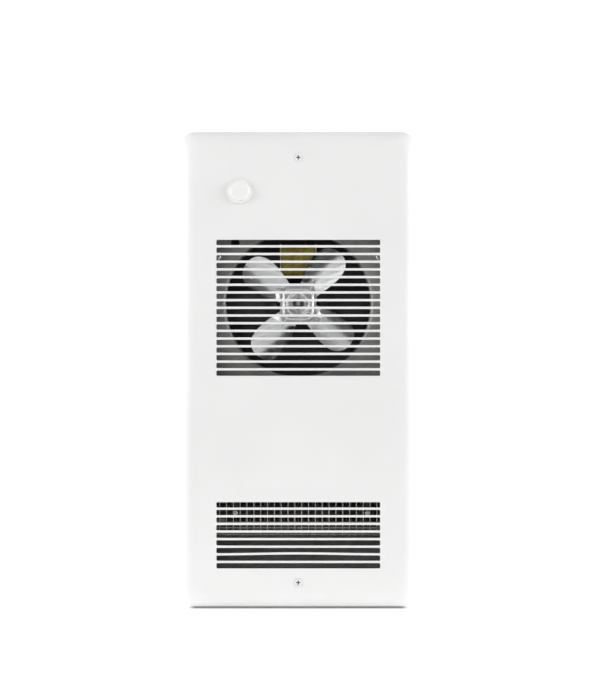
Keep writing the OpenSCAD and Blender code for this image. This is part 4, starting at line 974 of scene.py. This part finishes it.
makeCoil()
makeStator()
shaftLow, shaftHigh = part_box("motor_shaft")
makeRod("shaftRod", "motor_shaft", (shaftHigh[0] - shaftLow[0]) / 2, fanAxis, motor["clipGroove"])
dressNodes({"front_bridge": 0.3, "rear_bridge": 0.3}, "dark_steel")
dressNodes({"coil_bobbin": 0.4, "coil_core": 0.1, "shaft_bushes": 0.25, "rotor_core": 0.3,
            "shaft_collars": 0.25, "shading_rings": 0.35, "motor_spacers": 0.25,
            "motor_nuts": 0.3, "motor_bracket": 0.3, "bracket_rivets": 0.35})
motorSeat = stackFront - motor["bridge"]
screwsFor("motorScrews", "motor_screws",
          [(s * motor["studAt"], motorSeat, fanAxis[2]) for s in sides],
          (*motor["screw"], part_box("motor_screws")[1][1] - motorSeat), "dull_screw")
print("motor made")

element = {
    "finCount": 27,
    **metres({
        "y": -52, "z": -160, "left": -82, "right": 80, "rise": 11, "sheath": 4,
        "finHalf": (14, 21), "finCorner": 2, "finSheet": 0.5, "finPitch": 5.4, "finHole": 4.05,
        "finSpacing": 8, "finRipple": 0.12, "rippleLength": 6.5, "collar": 1.4,
    }),
}


def makeSheath():
    # one rod: along X, half a turn about the right end, and back
    turn = np.linspace(-np.pi / 2, np.pi / 2, 25)
    r, run = element["rise"], np.linspace(element["left"], element["right"], 9)[:-1]
    x = np.concatenate([run, element["right"] + r * np.cos(turn), run[::-1]])
    up = np.concatenate([np.full(8, -r), r * np.sin(turn), np.full(8, r)])
    rod = tube(xyz(x, element["y"], element["z"] + up), element["sheath"], 24, (0, 1, 0))
    buildPiece("sheathRod", [rod], "element_sheath", smooth=50)


def makeFins():
    # a plate with two collared holes, the same for every fin along X
    outline = opening(0.0, 0.0, *element["finHalf"], element["finCorner"])
    holes = [circleHole(0.0, s * element["rise"], element["finHole"], 3) for s in sides]
    a, b, keep = sheetGrid(outline, holes, 3, 3, element["finSpacing"])
    ripple = (element["finRipple"] * np.sin(b / element["rippleLength"])
              * (np.abs(a) / element["finHalf"][0]) ** 2)
    collar = np.array([0.0, element["collar"]])
    parts = []
    for i in range(element["finCount"]):
        left = (i - (element["finCount"] - 1) / 2) * element["finPitch"] - element["finSheet"] / 2
        place = np.array([left, element["y"], element["z"]])
        parts.append(surface(place + xyz(ripple, a, b), keep=keep, flip=True))
        for hole in holes:
            u, v = rimPoints(hole, a, b)
            parts.append(surface(place + xyz(collar, u, v), closeRows=True, flip=True))
    buildPiece("finStack", parts, "element_fins", smooth=40, weld=1e-6, sheet=element["finSheet"])


guard = {
    "count": 26, "levels": (5, 27, 75),
    **metres({
        "wire": 0.55, "pitch": 7.6, "top": -132.5, "low": -187, "bend": 18, "back": -52,
        "sink": 0.15, "over": 1, "topLevel": -134.5, "firstBack": 3, "screwSeat": -2.05,
        "screw": (2.8, 2, 1.5, 9),
    }),
}


def makeGuard():
    # uprights: straight down, a quarter circle under the element, straight back; level wires
    # lie behind them and are sunk in by the weld
    r, turnR, behind = guard["wire"], guard["bend"], 2 * guard["wire"] - guard["sink"]
    barY = deckFace - r
    frontY = barY - behind
    bendY, bendZ = frontY + turnR, guard["low"] + turnR

    def onBend(radius, turn):
        return bendY - radius * np.cos(turn), bendZ - radius * np.sin(turn)
    y, z = onBend(turnR, np.linspace(0, np.pi / 2, 9))
    y = np.concatenate([[frontY], y, [guard["back"]]])
    z = np.concatenate([[guard["top"]], z, [guard["low"]]])
    places = (np.arange(guard["count"]) - (guard["count"] - 1) / 2) * guard["pitch"]
    parts = [tube(xyz(x, y, z), r, 10, (1, 0, 0)) for x in places]
    half = places[-1] + guard["over"]
    levels = [(barY, guard["topLevel"])]
    levels += [onBend(turnR - behind, t) for t in np.radians(guard["levels"])]
    rear = np.arange(bendY + guard["firstBack"], guard["back"] - guard["over"], guard["pitch"])
    levels += [(v, guard["low"] + behind) for v in rear]
    across = np.array([-half, 0, half])
    parts += [tube(xyz(across, *level), r, 10, (0, 1, 0)) for level in levels]
    buildPiece("guardWires", parts, "outlet_guard", smooth=50)


def makeDeflector():
    # one sheet along X: level from the deck, a quarter circle, and a short upright end
    sheet, sweep, end, edge = metres((0.8, 50, -1, 0.15))
    low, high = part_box("air_deflector")
    turn, inner = np.linspace(0, np.pi / 2, 19), sweep - sheet
    y = np.concatenate([[deckBack], end - sweep + inner * np.sin(turn), [end - sheet]])
    z = np.concatenate([[low[2] + sheet], low[2] + sweep - inner * np.cos(turn), [high[2]]])
    points = xyz(np.linspace(low[0], high[0], 9)[:, None], y, z)
    buildPiece("deflectorSheet", [surface(points)], "air_deflector", smooth=30, sheet=sheet,
               edge=edge)


def makeInsulators():
    # ribbed ceramic beads: the radius swings once a rib
    length, mean, swing, rib, bore, shoulder = metres((7, 3.25, 0.25, 1.75, 1.52, 2.9))
    at = np.linspace(0, length, 43)[1:-1]
    ribs = mean + swing * np.cos(2 * np.pi * at / rib)
    radii = np.concatenate([[bore, shoulder], ribs, [shoulder, bore, bore]])
    depths = np.concatenate([[0, 0], at, [length, length, 0]])
    ends = [(element["left"] - length, element["y"], element["z"] + s * element["rise"])
            for s in sides]
    buildPiece("ceramicBeads", [lathe(radii, depths, end, 24, alongX) for end in ends],
               "element_insulators", smooth=60)


makeSheath()
makeFins()
makeGuard()
makeDeflector()
makeInsulators()
screwsFor("guardScrews", "guard_screws",
          [(x, deckFace + guard["screwSeat"], z) for x, z in deck["guardScrews"]],
          guard["screw"], "guard_screw")
dressNodes({"element_brackets": 0.25, "element_pins": 0.3, "limit_switch": 0.5,
            "limit_bracket": 0.25})
print("element and guard made")

knob = {
    "flutes": 12, "firstFlute": 15, "pointerTurn": 225,
    **metres({
        "skirt": 13.5, "grip": 10.5, "rise": 8, "gap": 0.6, "skirtHeight": 2.6, "bore": 3.02,
        "boreEnd": 2.48, "fluteDepth": 0.8, "fluteFrom": 1.0, "fluteRun": 1.2, "crown": 0.25,
        "gripRound": 1.6, "skirtRound": 0.8, "pointerHalf": 1.3, "pointerRise": 0.5,
        "pointerSlope": 0.6, "pointerStart": -0.2, "pointerEnd": 1.0, "pointerDepth": 1.2,
    }),
}


def makeKnob():
    # a turned profile; the grip's radius dips at each flute, a rib on the top points outwards
    skirt, grip, bore, crown = knob["skirt"], knob["grip"], knob["bore"], knob["crown"]
    gripRound, skirtRound = knob["gripRound"], knob["skirtRound"]
    base = knob["rise"] - knob["gap"]
    shoulder = base - knob["skirtHeight"]
    sine, sag = quarterTurn(7)
    dome = np.linspace(0.15, 1, 10)
    radii = np.concatenate([
        [0], dome * (grip - gripRound), grip - gripRound + gripRound * sine[1:],
        grip + np.array([0.1, 0.2, 0.5]) * mm, skirt - skirtRound + skirtRound * sine,
        [skirt, skirt - 0.5 * mm, bore + 0.3 * mm, bore, bore, 0]])
    depths = np.concatenate([
        [0], crown * dome ** 2, crown + gripRound * sag[1:],
        [3.4 * mm, shoulder - 0.5 * mm, shoulder], shoulder + skirtRound * sag,
        base - np.array([0.4, 0, 0, 0.3]) * mm, [knob["boreEnd"]] * 2])
    angle = np.linspace(0, 2 * np.pi, 288, endpoint=False)[:, None]
    onGrip = (ease((depths - knob["fluteFrom"]) / knob["fluteRun"])
              * (radii > grip - gripRound - 0.1 * mm) * (radii < grip + 0.3 * mm))
    dip = (0.5 + 0.5 * np.cos(knob["flutes"] * (angle - radians(knob["firstFlute"])))) ** 3
    r = radii - knob["fluteDepth"] * dip * onGrip
    x, z = r * np.sin(angle), r * np.cos(angle)
    pointer = radians(knob["pointerTurn"])
    aside = x * np.cos(pointer) - z * np.sin(pointer)
    onward = x * np.sin(pointer) + z * np.cos(pointer)
    rib = (ease((knob["pointerHalf"] - np.abs(aside)) / knob["pointerSlope"])
           * (onward > knob["pointerStart"])
           * ease((grip - knob["pointerEnd"] - onward) / knob["pointerEnd"]))
    y = faceY - knob["rise"] + depths - knob["pointerRise"] * rib * (depths < knob["pointerDepth"])
    skin = surface(xyz(knobAxis[0] + x, y, knobAxis[2] + z), closeRows=True)
    buildPiece("thermostatKnob", [skin], "thermostat_knob", smooth=35, outward=True)


def makeWires():
    # routes of the part's source, in millimetres
    r, reach = 1.4, 6
    leadY, limitY, spadeY = (deckBack / mm + offset for offset in (8, 25 + r, 37 + r))
    knobX, knobZ = knobAxis[0] / mm, knobAxis[2] / mm
    elY, elZ = element["y"] / mm, element["z"] / mm
    coilTop, stackY = (fanAxis[2] + motor["coilRise"]) / mm + 17.5, stackMiddle / mm
    termX, termZ, side, pinX, limitX, limitZ = 60, 184, 104, -96, 40, -114.5
    under, below, over = 167, 159, -81
    black = (
        ((termX - 11, leadY, termZ), (termX - 11, leadY, under), (knobX + 10, spadeY, below),
         (knobX + 10, spadeY, knobZ - 10)),
        ((knobX - 10, spadeY, knobZ - 10), (knobX - 10, spadeY, below - 6),
         (-side, leadY, below - 18), (-side, leadY, over), (limitX - 4, limitY, over),
         (limitX - 4, limitY, limitZ + 2)),
        ((limitX + 4, limitY, limitZ + 2), (limitX + 4, limitY, over - 8),
         (pinX + 1, leadY + 8, over - 14), (pinX, elY, elZ + 37), (pinX, elY, elZ + 12.5)),
    )
    red = (
        ((termX + 11, leadY, termZ), (termX + 11, leadY, under - 8), (side, leadY, under - 20),
         (side, leadY, over + 14), (-side + 6, leadY, over + 8), (-side, elY, over - 16),
         (-side, elY, elZ - 11), (pinX, elY, elZ - 11)),
        ((8, stackY, coilTop), (8, stackY, coilTop + 15), (termX + 4, leadY, under - 8),
         (termX + 4, leadY, termZ)),
    )
    for colour, routes in (("black", black), ("red", red)):
        paths = [bend(metres(route), reach * mm) for route in routes]
        parts = [tube(path, r * mm, 14, (0.28, 0.5, 0.21)) for path in paths]
        buildPiece(colour + "Leads", parts, colour + "_leads", smooth=60)


makeKnob()
makeWires()
makeRod("spindleRod", "thermostat_spindle", 3 * mm, knobAxis)
dressNodes({"thermostat_body": 0.6, "thermostat_nut": 0.35, "terminal_block": 0.7,
            "terminal_screws": 0.4})
print("thermostat and wiring made")

dressNodes({"wall_box": 0.2, "deck_tabs": 0.25, "cover_brackets": 0.25, "cover_clips": 0.12,
            "air_divider": 0.2, "divider_seal": 0.8})
screwsFor("coverScrews", "cover_screws",
          [(0, faceY + cover["screwSeat"], z) for z in cover["screws"]],
          (cover["screwHead"], *metres((2.4, 2.1, 14))), "cover_screw")
screwsFor("deckScrews", "deck_screws",
          [(s * deck["screwAcross"], deckFace, z) for z in deck["screwLevels"] for s in sides],
          metres((4, 2.4, 1.65, 8)))
groundLow, groundHigh = boxOf("ground_screw")
groundSeat = wallBox["sheet"] - wallBox["half"][0]
screwsFor("groundScrew", "ground_screw", [(groundSeat, *((groundLow + groundHigh) / 2)[1:])],
          (*metres((4, 2.4, 2)), groundSeat - groundLow[0]), axis=againstX)
print("wall box made")


# Stage, light and camera. A fade is its start and end and the strengths there.
studio = {
    "cameraDistance": 1.9, "eyeHeight": 0.021, "sideStep": -0.0003, "viewAtFace": 0.763,
    "film": 36.0, "farthest": 50.0, "floorReach": 6.0, "white": 0.9,
    "contact": (0.112, -0.114, 0.002), "nearGlow": (0.3, 0.1, 0.0, 0.22),
    "floorGlow": (0.0, 0.03, 0.05, 0.5), "contactLine": (0.0, 0.011, 0.16, 0.9),
    "litStrip": (0.22, 0.8, 1.0, 0.0), "floorGrey": (0.0, 1.0, 0.8, 1.0),
    "sky": (0.1, 1.0, 1.17, 0.45), "front": (-0.93, -0.62, 0.16, 1.0),
    "bandHeight": (0.2, 0.6, 1.0, 0.0), "bandEnd": (0.1, 0.5, 1.0, 0.0),
    "sideBand": (-0.85, -0.45, 0.0, 2.95), "edgeBand": (-0.15, 0.05, 0.0, 1.5),
    "backdrop": (0.8, 0.955, 0.78, 1.05),
    "key": ((-0.62, -1.75, 0.46), (0.75, 0.75), 2.2), "fill": ((1.6, -0.3, 0.5), (1.2, 1.6), 3),
}


def makeFloor():
    # a white floor that the cover's rim stands on, with painted light and shade and a glow
    corner = np.array([-studio["floorReach"], studio["floorReach"]])
    points, quads = surface(xyz(corner[:, None], corner, coverLow[2]))
    mesh = bpy.data.meshes.new("studioFloor")
    mesh.from_pydata(points, [], quads.tolist())
    r = Recipe("studioWhite", studio["white"], roughness=0.9)
    # how far a point is from the rectangle where the heater touches the floor
    halfX, middleY, halfY = studio["contact"]
    centred = r.vector("SUBTRACT", r.place, (0.0, middleY, 0.0))[0]
    gap = r.vector("SUBTRACT", r.vector("ABSOLUTE", centred)[0], (halfX, halfY, 1.0))[0]
    away = r.vector("LENGTH", r.vector("MAXIMUM", gap, (0.0, 0.0, 0.0))[0])["Value"]
    # for the camera: a painted contact shadow, darker and without glow next to the rim, then white
    # with a glow along a painted lit strip from the photographer to the backdrop, and pale grey
    # beyond it; for other rays the floor is plain white and glows close to the heater alone,
    # lighting it
    split = r.split(r.place)
    ahead = r.combine("ADD", split["Y"], studio["cameraDistance"] - faceY)
    aside = r.combine("DIVIDE", r.combine("ABSOLUTE", split["X"]), ahead)
    strip = r.step(r.combine("ABSOLUTE", aside), *studio["litStrip"])
    seen = r.add("ShaderNodeLightPath").outputs["Is Camera Ray"]
    glow = r.times(strip, r.step(away, *studio["floorGlow"]))
    grey = r.times(r.step(strip, *studio["floorGrey"]), r.step(away, *studio["contactLine"]))
    r.set(Base_Color=r.blend(seen, (studio["white"],) * 3, grey), Emission_Color=1.0,
          Emission_Strength=r.blend(seen, r.step(away, *studio["nearGlow"]), glow))
    mesh.materials.append(r.material)
    addObject("studioFloor", mesh)


def makeWorld():
    # even white light, weaker from above and from round the camera, with a bright band at the
    # sides and a brighter one just behind the cover's face; the camera sees a lit backdrop
    world = bpy.data.worlds.new("studioLight")
    scene.world = world
    world.use_nodes = True
    w = Nodes(world.node_tree)
    place = w.split(w.add("ShaderNodeTexCoord").outputs["Generated"])
    sky = w.step(place["Z"], *studio["sky"])
    fades = ("front", "bandEnd", "sideBand", "edgeBand", "backdrop")
    front, end, side, edge, backdrop = (w.step(place["Y"], *studio[fade]) for fade in fades)
    level = w.times(w.step(w.combine("ABSOLUTE", place["Z"]), *studio["bandHeight"]), end)
    bands = w.times(w.combine("ADD", side, edge), level)
    light = w.combine("ADD", w.times(sky, front), bands)
    mix, background = w.add("ShaderNodeMix"), w.tree.nodes["Background"]
    seen = w.add("ShaderNodeLightPath").outputs["Is Camera Ray"]
    for index, source in ((0, seen), (2, light), (3, backdrop)):
        w.feed(mix.inputs[index], source)
    w.feed(background.inputs["Color"], 1.0)
    w.feed(background.inputs["Strength"], mix.outputs[0])


def makeSoftbox(name, place, size, watts):
    # a soft rectangle of light that looks at the middle of the cover
    light = bpy.data.lights.new(name, "AREA")
    light.shape = "RECTANGLE"
    light.size, light.size_y = size
    light.energy = watts
    lamp = addObject(name, light)
    lamp.location = place
    lamp.rotation_euler = (-Vector(place)).to_track_quat("-Z", "Y").to_euler()


def makeCamera():
    data = bpy.data.cameras.new("photoCamera")
    data.sensor_width = studio["film"]
    data.lens = studio["film"] * studio["cameraDistance"] / studio["viewAtFace"]
    data.clip_end = studio["farthest"]
    camera = addObject("photoCamera", data)
    camera.location = (studio["sideStep"], faceY - studio["cameraDistance"], studio["eyeHeight"])
    camera.rotation_euler = (radians(90), 0, 0)
    scene.camera = camera


makeFloor()
makeWorld()
makeSoftbox("keySoftbox", *studio["key"])
makeSoftbox("fillSoftbox", *studio["fill"])
makeCamera()
print("stage ready")
